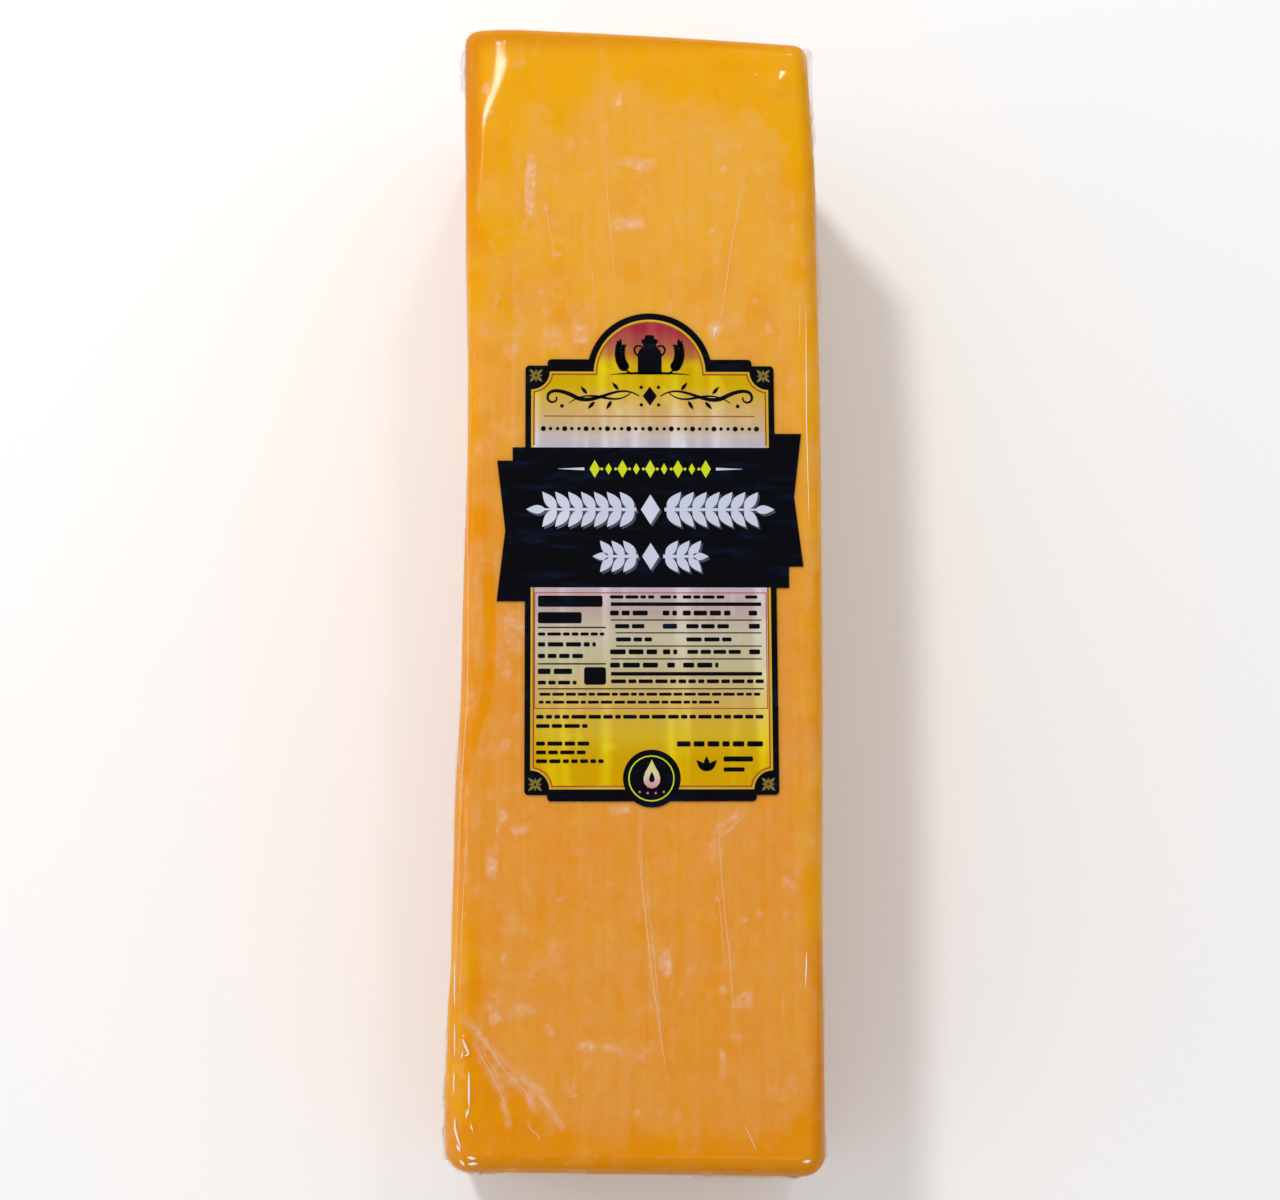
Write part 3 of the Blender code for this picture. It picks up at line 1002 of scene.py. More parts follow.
@dataclass
class StrewnRidges:
    """Folds of the sides, the ends and the underside, where the film was gathered.

    Attributes:
        wall: How far out a side's folds start before they are laid on it.
    """

    draw: np.random.Generator
    wall: float = 45.0
    end: float = 142.0

    def on_side(self, side: float) -> Ridge:
        """Draws one fold along a long side: 1 is the right one, -1 the left.

        Args:
            side: Which side.

        Returns:
            The fold.
        """
        draw = self.draw
        y, z = draw.uniform(-125.0, 125.0), draw.uniform(8.0, 78.0)
        length, slope = draw.uniform(14.0, 60.0), draw.normal(0.0, 0.10)
        wave = draw.uniform(-1.6, 1.6)
        shares = np.array([0.0, 0.3, 0.6, 1.0])
        along = np.clip(y + length * shares, -134.0, 134.0)
        up = np.clip(z + slope * length * shares + wave * np.sin(3.0 * shares), 6.0, 80.0)
        path = tuple((side * self.wall, *place) for place in zip(along, up))
        return Ridge(path, draw.uniform(0.07, 0.24), (-side, 0.0, 0.0))

    def pleats(self, end: float) -> Iterable[Ridge]:
        """Gives the pleats from both ends of an end's seal to the corners.

        Args:
            end: Which end: 1 is the far one, -1 the near one.

        Returns:
            The pleats, one after the other.
        """
        face = end * self.end
        for x, z in ((37.5, 80.5), (38.5, 62.0), (37.5, 6.0)):
            for side in (-1.0, 1.0):
                for spread in (-2.6, 0.0, 2.3):
                    start = (side * 35.0, face, 43.0 + spread * 0.8)
                    middle = (side * (35.0 + x) / 2.0, face, (43.0 + z) / 2.0 + spread)
                    stop = (side * x, face, z + spread * 0.4)
                    yield Ridge((start, middle, stop), 0.4 if spread else 1.05, (0.0, -end, 0.0))

    def on_end(self, end: float) -> Ridge:
        """Draws one fold that runs up or down from an end's seal.

        Args:
            end: Which end: 1 is the far one, -1 the near one.

        Returns:
            The fold.
        """
        draw, face = self.draw, end * self.end
        x = draw.uniform(-33.0, 33.0)
        z, way = (50.5, 1.0) if draw.random() < 0.5 else (35.5, -1.0)
        reach = draw.uniform(8.0, 30.0) * way
        lean = x * draw.uniform(0.0, 0.012) * abs(reach)
        path = ((x, face, z), (x + lean * 0.4, face, z + reach * 0.5), (x + lean, face, z + reach))
        return Ridge(path, draw.uniform(0.16, 0.4), (0.0, -end, 0.0))

    def below(self) -> Ridge:
        """Draws one fold of the underside.

        Returns:
            The fold.
        """
        draw = self.draw
        x, y = draw.uniform(-38.0, 38.0), draw.uniform(-130.0, 130.0)
        length, lean = draw.uniform(10.0, 60.0), draw.normal(0.0, 0.12)
        stop, shift = min(y + length, 134.0), lean * length
        path = ((x, y, 0.0), (x + shift * 0.5, (y + stop) / 2.0, 0.0), (x + shift * 0.7, stop, 0.0))
        return Ridge(path, draw.uniform(0.06, 0.13), (0.0, 0.0, 1.0))

    def all(self) -> list[Ridge]:
        """Draws them all: the sides, the ends, then the underside.

        Returns:
            The folds, in the order of their draw.
        """
        folds = [self.on_side(side) for side in (-1.0, 1.0) for _ in range(20)]
        for end in (-1.0, 1.0):
            folds += [*self.pleats(end), *(self.on_end(end) for _ in range(16))]
        return folds + [self.below() for _ in range(34)]


# Air caught under the film on the top face: place across and along, width, length, turn in degrees, strength
AIR_POCKETS = (
    (-27, 98.4, 2.5, 16, -2, 1), (-30.4, 130.6, 4.4, 3.8, 0, 0.5), (-38.4, 123.5, 2, 3.4, 0, 0.8),
    (-37.4, 117.6, 1.6, 3, 0, 0.5), (-28.7, 88, 2, 5, -12, 0.5), (-5.2, 121, 1.4, 3.6, -5, 0.65),
    (-8.1, 113.2, 1.2, 4.8, -5, 0.5), (-1.2, 104.8, 8.6, 3.6, -12, 0.75), (-2.9, 89.3, 7.8, 4.4, 0, 0.7),
    (20.5, 103.2, 1.6, 1.8, 0, 0.75), (-23.1, 93.2, 1.5, 3, 0, 0.6), (-20.3, 81.3, 3, 2.3, 0, 0.75),
    (17.4, 87.2, 1.8, 1.5, 0, 0.6), (19.2, 84.4, 2.4, 1.2, 0, 0.5), (-21.4, 60.3, 6, 6, 0, 0.5),
    (-14.6, 61.1, 4, 7.2, -10, 0.65), (-30.2, 56.9, 2, 2, 0, 0.45), (-35.1, 69, 1.6, 6.2, -10, 0.55),
    (-24.2, 71.3, 1.6, 2, 0, 0.6), (-38.5, 61.4, 3, 3.6, 0, 0.5), (-33.1, 86.8, 2.6, 2, 0, 0.5),
    (37.5, 96, 1.3, 7.5, 0, 0.5), (37.4, 88, 1.5, 4, 0, 0.5), (36.3, 81.2, 1.5, 1.5, 0, 0.55),
    (18.3, 62.6, 3, 4, -20, 0.65), (-32.7, -56.3, 2.8, 5.2, 15, 0.6), (-28.2, -60.3, 4.4, 2.8, 0, 0.65),
    (-34.9, -67.6, 3.2, 8.6, -4, 0.7), (-26.4, -73.4, 2.4, 3.4, 0, 0.45), (-18, -75.1, 3.6, 1.8, 10, 0.75),
    (-32.4, -90.2, 1.8, 1.8, 0, 0.65), (-16.8, -91.4, 1.5, 1.5, 0, 0.45), (-34.2, -103.1, 4, 5.4, 0, 0.6),
    (-27.7, -101.5, 4.8, 5.6, 20, 0.45), (-21.4, -106.3, 2.6, 3.2, 0, 0.55),
    (-12.5, -109.8, 4.8, 2.1, 0, 0.5), (-6.2, -111, 6, 2, -8, 0.45), (0.7, -111.6, 4.4, 6.8, 0, 0.5),
    (5.9, -90.9, 2.4, 5.8, 8, 1), (19.2, -97.6, 2, 2.4, 0, 0.55), (24.3, -99.4, 3.8, 4.8, 0, 0.6),
    (19.1, -114.2, 2, 6.8, 5, 0.6), (22.9, -108, 3, 2.4, 0, 0.55), (17.9, -75.7, 2, 2.4, 0, 0.6),
    (28.5, -79.2, 2.4, 2, 0, 0.6), (24.5, -80.6, 2, 2, 0, 0.55), (35.2, -72, 3, 7.2, -5, 0.55),
    (19.7, -58.4, 8.8, 2, 42, 0.6), (-4.8, -54.9, 5.2, 3.2, 0, 0.6), (-23.1, -120.3, 2.4, 2.2, 0, 0.65),
    (-15, -121.7, 2.2, 2, 0, 0.6), (-1.1, -125.3, 2, 1.5, 0, 0.5), (40.2, 96.8, 0.9, 3.2, 4, 0.5),
    (39.3, 106.9, 0.8, 2.4, 0, 0.45), (24.1, 90.3, 1.2, 2.6, -8, 0.5), (10.1, 85.5, 1.4, 1.2, 0, 0.4),
    (-36.7, 83.4, 2, 2.6, 0, 0.5), (-39.5, 93.6, 0.8, 5, 0, 0.4), (-12.7, 68.1, 3, 1, -30, 0.45),
    (-29.2, 61.9, 3, 5, 10, 0.4), (28.4, 69.9, 1.4, 3.6, 10, 0.45), (31.7, 62.4, 2.4, 2, 0, 0.4),
    (37.5, -69.2, 3, 5, 0, 0.4), (-33.1, -59.9, 1.6, 3.2, 0, 0.5), (-41.2, -76, 3, 26, 0, 0.3),
    (-41.4, -97, 3, 24, 0, 0.4), (-41.6, -116, 2.6, 18, 0, 0.38), (40.6, -52, 2.6, 34, 0, 0.32),
    (40.8, 0, 2.6, 50, 0, 0.25), (-30.4, -12.4, 7.6, 12, 0, 0.5), (-32.4, -20.6, 4, 8, 20, 0.5),
    (-28.9, -33, 3.6, 4.4, 0, 0.4), (-31.8, -39.4, 3.4, 3.4, 0, 0.4), (-39.4, -2, 1.6, 30, -2, 0.42),
    (-38.6, -12, 1.4, 22, -4, 0.36), (-37.8, 4.5, 1.6, 10, 8, 0.4), (-39.6, -29, 1.4, 14, 8, 0.36),
    (-34.2, 5, 2.2, 6, 0, 0.36), (-33.8, -114.6, 6, 17, 36, 0.5), (-33.5, -101, 7, 9, 10, 0.4),
)
# Paths along which the film clings tight, each with half its width
CLEAR_STREAKS = (
    (((-36.5, 3), (-36.2, -3.7), (-35.6, -14.6), (-36, -24.2), (-37.4, -31.4), (-39.2, -37.4),
     (-40.1, -40.5)), 2.1),
    (((-41.1, -38.6), (-41.2, -47.1)), 1.3),
)


def distance_to(points: np.ndarray, path: Sequence[Sequence[float]]) -> np.ndarray:
    """Measures how far points are from a path, seen from above.

    Args:
        points: Places in millimetres.
        path: Points of the path.

    Returns:
        Each point's distance.
    """
    nearest = np.full(len(points), np.inf)
    for (x0, y0, *_), (x1, y1, *_) in zip(path, path[1:]):
        span = math.hypot(x1 - x0, y1 - y0)
        along = ((points[:, 0] - x0) * (x1 - x0) + (points[:, 1] - y0) * (y1 - y0)) / span
        aside = np.abs((points[:, 0] - x0) * (y1 - y0) - (points[:, 1] - y0) * (x1 - x0)) / span
        nearest = np.minimum(nearest, np.hypot(aside, np.maximum(np.maximum(-along, along - span), 0.0)))
    return nearest


@dataclass(frozen=True)
class Cling:
    """How closely the film lies on the cheese: slack in the middle of each face, tight at its edges.

    Attributes:
        form: The loaf's form.
        left_edge: Place along, and where the haze of the top face ends on the left.
        far_edge: Place across, and where the haze ends at the far end.
        wall_margin: How far from its edges the haze of a wall ends.
    """

    form: LoafForm
    left_edge: Stations = (
        (-140.0, -43.0), (-100.0, -45.0), (-60.0, -48.0), (40.0, -46.0), (95.0, -40.0), (134.0, -36.0),
    )
    right_edge: Stations = ((-140.0, 42.0), (-95.0, 49.0), (40.0, 49.0), (90.0, 45.0), (134.0, 36.0))
    far_edge: Stations = (
        (-44.0, 131.0), (-34.0, 132.0), (-27.0, 128.0), (-19.0, 121.5), (-12.0, 129.0), (-3.0, 131.0),
        (5.7, 125.5), (13.0, 129.0), (24.0, 120.0), (28.0, 126.0), (31.6, 122.5), (38.0, 128.0),
    )
    near_edge: Stations = (
        (-44.0, -106.0), (-37.5, -113.5), (-33.0, -120.0), (-29.0, -127.0), (-22.0, -134.0), (0.0, -138.0),
        (30.0, -137.0), (41.0, -133.0),
    )
    fade: float = 12.0
    wander: float = 1.4
    wall_margin: float = 6.0

    def veil(self, points: np.ndarray, normals: np.ndarray) -> np.ndarray:
        """Tells how hazy the film is.

        Args:
            points: The film's vertices.
            normals: Which way each faces.

        Returns:
            A share for each, from 0 where it clings to 1 where it is slack.
        """
        x, y, z = points.T
        rough = (Waves(5, 13.0, 1.6).at(points) + 0.6 * Waves(6, 6.0, 2.0).at(points)) * self.wander
        top = np.minimum(x - between(self.left_edge, y), between(self.right_edge, y) - x)
        top = np.minimum(top, np.minimum(between(self.far_edge, x) - y, y - between(self.near_edge, x)))
        in_x, in_y, _ = self.form.half[:, None] - np.abs(points.T) - self.wall_margin
        in_z = np.minimum(z, self.form.height - z) - self.wall_margin
        axis = np.abs(normals).argmax(axis=1)
        wall = np.where(axis == 0, np.minimum(in_y, in_z), np.minimum(in_x, in_z))
        wall = np.where(axis == 2, np.minimum(in_x, in_y), wall) + rough * 2.0
        inside = np.where((axis == 2) & (normals[:, 2] > 0.0), top + rough * 1.6, wall)
        slack = smooth_step(inside / self.fade)
        for path, reach in CLEAR_STREAKS:
            clear = rise(distance_to(points, path), reach, 0.3 * reach)
            slack *= 1.0 - np.where(normals[:, 2] > 0.7, clear, 0.0)
        return slack

    def pocket(self, points: np.ndarray, ragged: np.ndarray, row: Sequence[float]) -> np.ndarray:
        """Tells how much air one pocket holds.

        Args:
            points: The film's vertices.
            ragged: How far its edge is torn at each, across and along.
            row: Its row of the table.

        Returns:
            The share of air at each vertex.
        """
        across, along, width, length, turn, strength = row
        torn = 0.32 if length < 3.0 * width else 0.08
        x, y = (points[:, :2] - (across, along) + ragged * torn).T
        c, s = math.cos(math.radians(turn)), math.sin(math.radians(turn))
        a, b = (x * c + y * s) / (width / 2.0), (y * c - x * s) / (length / 2.0)
        return strength * rise((np.abs(a) ** 3 + np.abs(b) ** 3) ** (1.0 / 3.0), 1.45, 0.5)

    def pockets(self, points: np.ndarray, normals: np.ndarray) -> np.ndarray:
        """Tells how much air is caught under the film, with a painted sheen along the right side's upper rim.

        Args:
            points: The film's vertices.
            normals: Which way each faces.

        Returns:
            The share of air at each vertex.
        """
        top = normals[:, 2] > 0.7
        ragged = np.stack([Waves(seed, 4.2).at(points) for seed in (71, 73)], axis=1)
        air = [self.pocket(points, ragged, row) for row in AIR_POCKETS]
        air += [one.mist * smooth_step(1.15 - distance_to(points, one.path) / one.band) for one in TOP_RIDGES]
        air = np.where(top, np.maximum.reduce(air), 0.0)
        # Painted sheen: a milky band along the right side's upper rim stands for film seen edge-on.
        painted_edge_sheen = rise(np.abs(normals[:, 0]), 0.86, 0.96) * rise(points[:, 2], 74.0, 78.0)
        air = np.maximum(air, np.where(normals[:, 0] > 0.0, painted_edge_sheen * 0.4, 0.0))
        strewn = rise(Waves(17, 9.0).at(points) + Waves(23, 21.0).at(points), 2.1, 3.0)
        clouds = rise(Waves(19, 6.5, 1.4).at(points) + 0.7 * Waves(29, 3.2).at(points), 1.3, 2.4)
        return np.maximum(air, np.where(top, np.maximum(strewn * 0.3, clouds * 0.27), strewn * 0.6))


@dataclass
class SealedLoaf:
    """The cheese and the film shrunk on it."""

    form: LoafForm
    film_depth: float = 0.3
    ripple: float = 0.06

    def relief(self, points: np.ndarray, normals: np.ndarray) -> np.ndarray:
        """Tells how far the film stands proud of the plain form.

        Args:
            points: The film's vertices.
            normals: Which way each faces.

        Returns:
            The height at each, in millimetres.
        """
        slow, quick = Waves(31, 34.0, 1.6).at(points), Waves(37, 9.0, 2.5).at(points)
        wall = rise(np.abs(normals[:, 2]), 0.6, 0.2)
        waves = self.ripple * (slow + (0.25 + 1.3 * wall) * quick * 0.5)
        return (waves + self.crumple(points)) * rise(normals[:, 2], -0.95, -0.45)

    def crumple(self, points: np.ndarray) -> np.ndarray:
        """Tells how high the slack film's folds are at the near left corner and along the edges.

        Args:
            points: Points in millimetres, one row each.

        Returns:
            One height in millimetres for each point.
        """
        x, y, z = points.T
        corner = rise(x, -27.0, -35.0) * rise(y, -98.0, -108.0) * rise(z, 30.0, 60.0)
        rim = rise(np.abs(x), 39.5, 42.5) * rise(z, 20.0, 60.0)
        near, far = rise(y, -133.0, -137.0), rise(y, 132.0, 137.0)
        fan = np.sin(2.0 * math.pi * ((0.8 * x + 0.6 * y) / 6.2) + Waves(43, 26.0).at(points) * 1.8)
        sharp = np.maximum(1.0 - np.abs(Waves(47, 5.5, 1.8).at(points)), 0.0) ** 2
        folds = np.maximum(1.0 - np.abs(fan) * 1.25, 0.0) ** 2
        strength = np.maximum.reduce([corner, rim * 0.4, near * 0.45, far * 0.3])
        return 0.45 * corner * folds + 0.42 * strength * sharp

    def grid(self, fine: float) -> tuple[np.ndarray, np.ndarray]:
        """Makes the unit skin, with cells about fine times the film's size.

        Args:
            fine: How much larger or smaller the cells are.

        Returns:
            The points of the unit skin, and its faces.
        """
        across, along, up = self.form.half
        runs_x = ((-24.0, 0.62 * fine), (across, 0.98 * fine))
        runs_y = ((-95.0, 0.85 * fine), (85.0, 1.25 * fine), (along, 0.95 * fine))
        return SkinGrid(self.form, (runs_x, runs_y, ((up, 2.4 * fine),))).unit_skin()

    def cheese(self, material: Material) -> Piece:
        """Makes the cheese, just inside the film.

        Args:
            material: What it is made of.

        Returns:
            The cheese.
        """
        unit, faces = self.grid(1.9)
        points = self.form.skin(unit, self.film_depth)
        made = smooth_object("cheddar", points, faces)
        x, y, z = points.T
        # Painted light: lighter towards the lit far end, with lighter and darker patches along the sides.
        painted_light = rise(y, -25.0, 125.0) - 0.9 * rise(x, -37.0, -41.5) * rise(y, 60.0, 100.0)
        painted_light += 0.4 * rise(x, 34.0, 41.0) * rise(y, -92.0, -72.0) * rise(y, 75.0, 45.0)
        painted_light += 0.4 * rise(x, -38.0, -41.0) * rise(y, -66.0, -86.0) * rise(y, -130.0, -122.0)
        mark(made, "far_share", painted_light)
        # Painted shade: darker along the turned-down rims of the sides and ends.
        left = 0.6 * rise(x, -38.5, -42.0) * rise(y, 78.0, 118.0)
        right = 0.35 * rise(y, 55.0, 85.0) + 0.4 * rise(y, -78.0, -94.0) + 0.3 * rise(y, -100.0, -116.0)
        right *= rise(x, 39.0, 42.5)
        near, far = 0.9 * rise(y, -136.5, -140.0), 0.6 * rise(y, 133.0, 137.0)
        mark(made, "rim_share", np.maximum.reduce([left, right, near, far]) * rise(z, 55.0, 75.0))
        return bag_piece(made, material)

    def film(self, material: Material) -> Piece:
        """Makes the film, one closed skin over the cheese.

        Args:
            material: What it is made of.

        Returns:
            The film.
        """
        unit, faces = self.grid(1.0)
        plain = self.form.skin(unit)
        made = smooth_object("shrink_film", plain, faces)
        normals = np.zeros(len(plain) * 3, np.float32)
        made.data.vertices.foreach_get("normal", normals)
        normals = normals.reshape(-1, 3).astype(float)
        points = plain + normals * self.relief(plain, normals)[:, None]
        made.data.vertices.foreach_set("co", to_metres(points).ravel())
        made.data.update()
        cling = Cling(self.form)
        mark(made, "veil", cling.veil(plain, normals))
        mark(made, "pocket", cling.pockets(plain, normals))
        lowered = rise(plain[:, 2], self.form.height - 9.0, self.form.height - 19.0)
        wall = rise(np.abs(normals[:, 2]), 0.45, 0.05) * lowered
        turned = rise(normals[:, 2], 0.93, 0.78) * (1.0 - lowered)
        far_left = rise(normals[:, 0], -0.25, -0.45) * rise(plain[:, 1], 62.0, 92.0)
        ends = rise(np.abs(normals[:, 1]), 0.25, 0.45)
        mark(made, "wall", wall - 0.17 * turned * np.maximum(far_left, ends * 0.8))
        return bag_piece(made, material)


# Ridges in the film


def ridge_tree() -> bpy.types.GeometryNodeTree:
    """Builds the Geometry Nodes that sweep a thin tapered fold along each line of a mesh.

    Returns:
        The tree.
    """
    nodes = ShapeTree("film_ridges", Girth="Float", Sides="Int", Step="Float", Material="Material")
    lines = nodes.add("GeometryNodeMeshToCurve", {"Mesh": nodes.inputs["Geometry"]}).outputs["Curve"]
    values = {"Curve": lines, "Length": nodes.inputs["Step"]}
    even = nodes.add("GeometryNodeResampleCurve", values, mode="LENGTH").outputs["Curve"]
    share = nodes.add("GeometryNodeSplineParameter").outputs["Factor"]
    swell = nodes.reckon("POWER", nodes.reckon("SINE", nodes.reckon("MULTIPLY", share, math.pi)), 0.6)
    own = nodes.reckon("MULTIPLY", nodes.reckon("MAXIMUM", swell, 0.06), nodes.read("girth"))
    radius = nodes.reckon("MULTIPLY", own, nodes.inputs["Girth"])
    sized = nodes.add("GeometryNodeSetCurveRadius", {"Curve": even, "Radius": radius}).outputs["Curve"]
    values = {"Resolution": nodes.inputs["Sides"], "Radius": 1.0}
    ring = nodes.add("GeometryNodeCurvePrimitiveCircle", values).outputs["Curve"]
    scale = nodes.add("GeometryNodeInputRadius").outputs[0]
    values = {"Curve": sized, "Profile Curve": ring, "Scale": scale, "Fill Caps": True}
    swept = nodes.add("GeometryNodeCurveToMesh", values).outputs["Mesh"]
    return nodes.closed(nodes.add("GeometryNodeSetShadeSmooth", {0: swept}).outputs[0])


@dataclass
class FilmRidges:
    """Fine folds that stand on the film, laid where they meet it.

    Attributes:
        step: Millimetres between the points of a line.
        sides: Sides of a fold's section.
        sunk: Share of its girth that a fold is sunk in the film.
    """

    film: Piece
    tree: bpy.types.GeometryNodeTree
    step: float = 0.9
    sides: int = 8
    sunk: float = 0.45

    def laid(self, ridge: Ridge, surface: BVHTree) -> list[Vector]:
        """Drops one ridge's line on the film.

        Args:
            ridge: The ridge.
            surface: The film's faces.

        Returns:
            The points of the line in metres.
        """
        facing = Vector(ridge.facing)
        path = [Vector(point) for point in to_metres(ridge.path)]
        points = []
        for first, second in zip(path, path[1:]):
            cuts = max(1, round((second - first).length / (self.step * MILLIMETRE)))
            points += [first.lerp(second, i / cuts) for i in range(cuts)]
        found = []
        for point in (*points, path[-1]):
            hit, normal, _, _ = surface.ray_cast(point - facing * 0.05, facing)
            if hit is not None:
                found.append(hit - normal * (ridge.girth * self.sunk * MILLIMETRE))
        return found

    def build(self, name: str, ridges: Iterable[Ridge], material: Material) -> None:
        """Makes one piece from many ridges.

        Args:
            name: Name of the piece.
            ridges: The ridges.
            material: What they are dressed in.
        """
        surface = BVHTree.FromObject(self.film, bpy.context.evaluated_depsgraph_get())
        vertices, edges, girths = [], [], []
        for ridge in ridges:
            line = self.laid(ridge, surface)
            if len(line) > 1:
                start = len(vertices)
                vertices += line
                girths += [ridge.girth] * len(line)
                edges += [(i, i + 1) for i in range(start, start + len(line) - 1)]
        lines = raw_object(name + "_lines", vertices, edges)
        mark(lines, "girth", girths)
        values = {"Girth": MILLIMETRE, "Sides": self.sides, "Step": self.step * MILLIMETRE}
        bag_piece(run_tree(self.tree, lines, name, values | {"Material": material}), material)


# Loose film on the walls


class Wall(Enum):
    """The four upright faces, as the axis that they face along and its sign."""

    LEFT = (0, -1)
    RIGHT = (0, 1)
    NEAR = (1, -1)
    FAR = (1, 1)


@dataclass(frozen=True)
class LooseFold:
    """A flap of film that stands off a wall.

    Attributes:
        wall: The wall that it lies on.
        start_depth: How far it stands off at its start.
        crimps: Height of the pressed ribs across it.
        seed: Seed of its wrinkles.
        taper: Share of its height left at its start and at its end.
        hem: How far in from its edges it reaches its full depth.
        sunk: How far its back lies inside the wall.
        crimp_step: From one pressed rib to the next.
    """

    wall: Wall
    start: float
    end: float
    low: float
    high: float
    start_depth: float
    end_depth: float
    crimps: float = 0.0
    seed: int = 1
    taper: tuple[float, float] = (1.0, 1.0)
    hem: float = 1.0
    cell: float = 0.7
    sunk: float = 1.2
    crimp_step: float = 2.4

    def build(self, name: str, form: LoafForm, material: Material) -> None:
        """Makes the flap as a closed shell, sunk a little into the loaf.

        Args:
            name: Name of the piece.
            form: The loaf's form.
            material: What it is dressed in.
        """
        long, tall = abs(self.end - self.start), self.high - self.low
        across, upward = (max(6, round(size / self.cell)) for size in (long, tall))
        shares = (np.linspace(0.0, 1.0, count + 1) for count in (across, upward))
        a, b = (share.ravel() for share in np.meshgrid(*shares, indexing="ij"))
        along = self.start + (self.end - self.start) * a
        nought = np.zeros_like(along)
        ragged = Waves(self.seed, 9.0).at(np.stack([along, nought, nought], axis=1)) * 0.5
        kept = self.taper[0] + (self.taper[1] - self.taper[0]) * smooth_step(a)
        height = self.high - tall * (1.0 - b) * kept - ragged * (1.0 - b) * 1.2
        edge = np.minimum(np.minimum(a, 1.0 - a) * long, np.minimum(b, 1.0 - b) * tall)
        dome = np.sqrt(1.0 - (1.0 - np.clip(edge / self.hem, 0.0, 1.0)) ** 2)
        depth = (self.start_depth + (self.end_depth - self.start_depth) * a) * dome
        wrinkle = Waves(self.seed + 50, 8.0).at(np.stack([along, nought, b * tall], axis=1))
        depth *= 0.88 + 0.10 * np.clip(wrinkle, -1.2, 1.2)
        ribs = 0.5 + 0.5 * np.sin(2.0 * math.pi * along / self.crimp_step)
        depth += self.crimps * (dome * ribs - 1.0)
        axis, sign = self.wall.value
        face = form.side_face(sign, along) if axis == 0 else form.end_face(sign, along)
        layers = []
        for off in (np.maximum(depth, -0.2), -self.sunk):
            ends = (face + sign * off, along)
            layers.append(np.stack([ends[axis], ends[1 - axis], height], axis=1))
        grid = np.arange((across + 1) * (upward + 1)).reshape(across + 1, upward + 1)
        quads = np.stack([grid[:-1, :-1], grid[1:, :-1], grid[1:, 1:], grid[:-1, 1:]], axis=-1).reshape(-1, 4)
        rim = np.concatenate([grid[:-1, 0], grid[-1, :-1], grid[:0:-1, -1], grid[0, :0:-1]])
        walls = [(p, q, q + grid.size, p + grid.size) for p, q in zip(rim, np.roll(rim, -1))]
        made = smooth_object(name, np.concatenate(layers), [*quads, *(quads[:, ::-1] + grid.size), *walls])
        shell = bmesh.new()
        shell.from_mesh(made.data)
        bmesh.ops.recalc_face_normals(shell, faces=shell.faces)
        shell.to_mesh(made.data)
        shell.free()
        bag_piece(made, material)


LOOSE_FOLDS = {
    "far_right_flap": LooseFold(Wall.RIGHT, 118.0, 137.0, 56.0, 81.0, 0.5, 1.5, 0.0, 3, (0.3, 1.0), 1.4),
    "right_tuck": LooseFold(Wall.RIGHT, 71.0, 100.0, 60.0, 80.5, 1.0, 0.3, 0.0, 13, (0.5, 0.8), 1.4),
    "right_pleat": LooseFold(Wall.RIGHT, 112.5, 120.0, 66.0, 80.0, 0.9, 0.6, 0.0, 14, (0.4, 0.8), 1.2),
    "far_left_ear": LooseFold(Wall.LEFT, 130.8, 135.8, 68.0, 80.5, 1.2, 0.6, 0.0, 4, (0.3, 1.0), 1.2),
    "far_left_lobe": LooseFold(Wall.LEFT, 125.4, 130.4, 70.0, 80.0, 0.9, 1.3, 0.0, 15, (0.3, 1.0), 1.2),
    "near_left_ear": LooseFold(Wall.LEFT, -136.0, -128.0, 56.0, 80.0, 0.6, 0.4, 0.0, 5, (1.0, 0.3), 1.6),
    "near_right_ear": LooseFold(Wall.RIGHT, -136.0, -130.0, 60.0, 80.0, 0.7, 0.5, 0.0, 6, (1.0, 0.3), 1.6),
    "far_seal": LooseFold(Wall.FAR, -37.0, 37.0, 40.0, 47.0, 1.1, 1.1, 0.35, 7),
    "near_seal": LooseFold(Wall.NEAR, -37.0, 37.0, 40.0, 47.0, 1.0, 1.0, 0.35, 8),
    "near_seal_flap": LooseFold(Wall.NEAR, 12.0, 37.5, 54.0, 79.5, 0.8, 0.8, 0.0, 9, (0.55, 1.0), 1.6),
}


# Flat shapes of the print


def arc(centre: Place, radius: float, start: float, end: float, step: float = 9.0) -> Outline:
    """Gives points of an arc.

    Args:
        centre: Its centre.
        radius: Its radius.
        start: Angle of its first point, in radians.
        end: Angle of its last point.
        step: Degrees between points, at most.

    Returns:
        The points, with both ends.
    """
    count = max(2, math.ceil(abs(end - start) / math.radians(step)))
    turns = (start + (end - start) * i / count for i in range(count + 1))
    return [(centre[0] + radius * math.cos(turn), centre[1] + radius * math.sin(turn)) for turn in turns]


def disc(centre: Place, radius: float) -> Outline:
    """A round spot."""
    return arc(centre, radius, 0.0, 2.0 * math.pi, 15.0)[:-1]


def bar(left: float, low: float, right: float, high: float, r: float = 0.0) -> Outline:
    """A bar, with a bevel on its corners unless r is 0.

    Args:
        left: Its left side.
        low: Its bottom.
        right: Its right side.
        high: Its top.
        r: Size of the bevel.

    Returns:
        Its outline.
    """
    if r == 0.0:
        return [(left, low), (right, low), (right, high), (left, high)]
    bevel = [(left + r, low), (right - r, low), (right, low + r), (right, high - r)]
    return bevel + [(right - r, high), (left + r, high), (left, high - r), (left, low + r)]


def lozenge(centre: Place, width: float, height: float) -> Outline:
    """A diamond standing on its point."""
    u, v = centre
    return [(u - width / 2.0, v), (u, v - height / 2.0), (u + width / 2.0, v), (u, v + height / 2.0)]


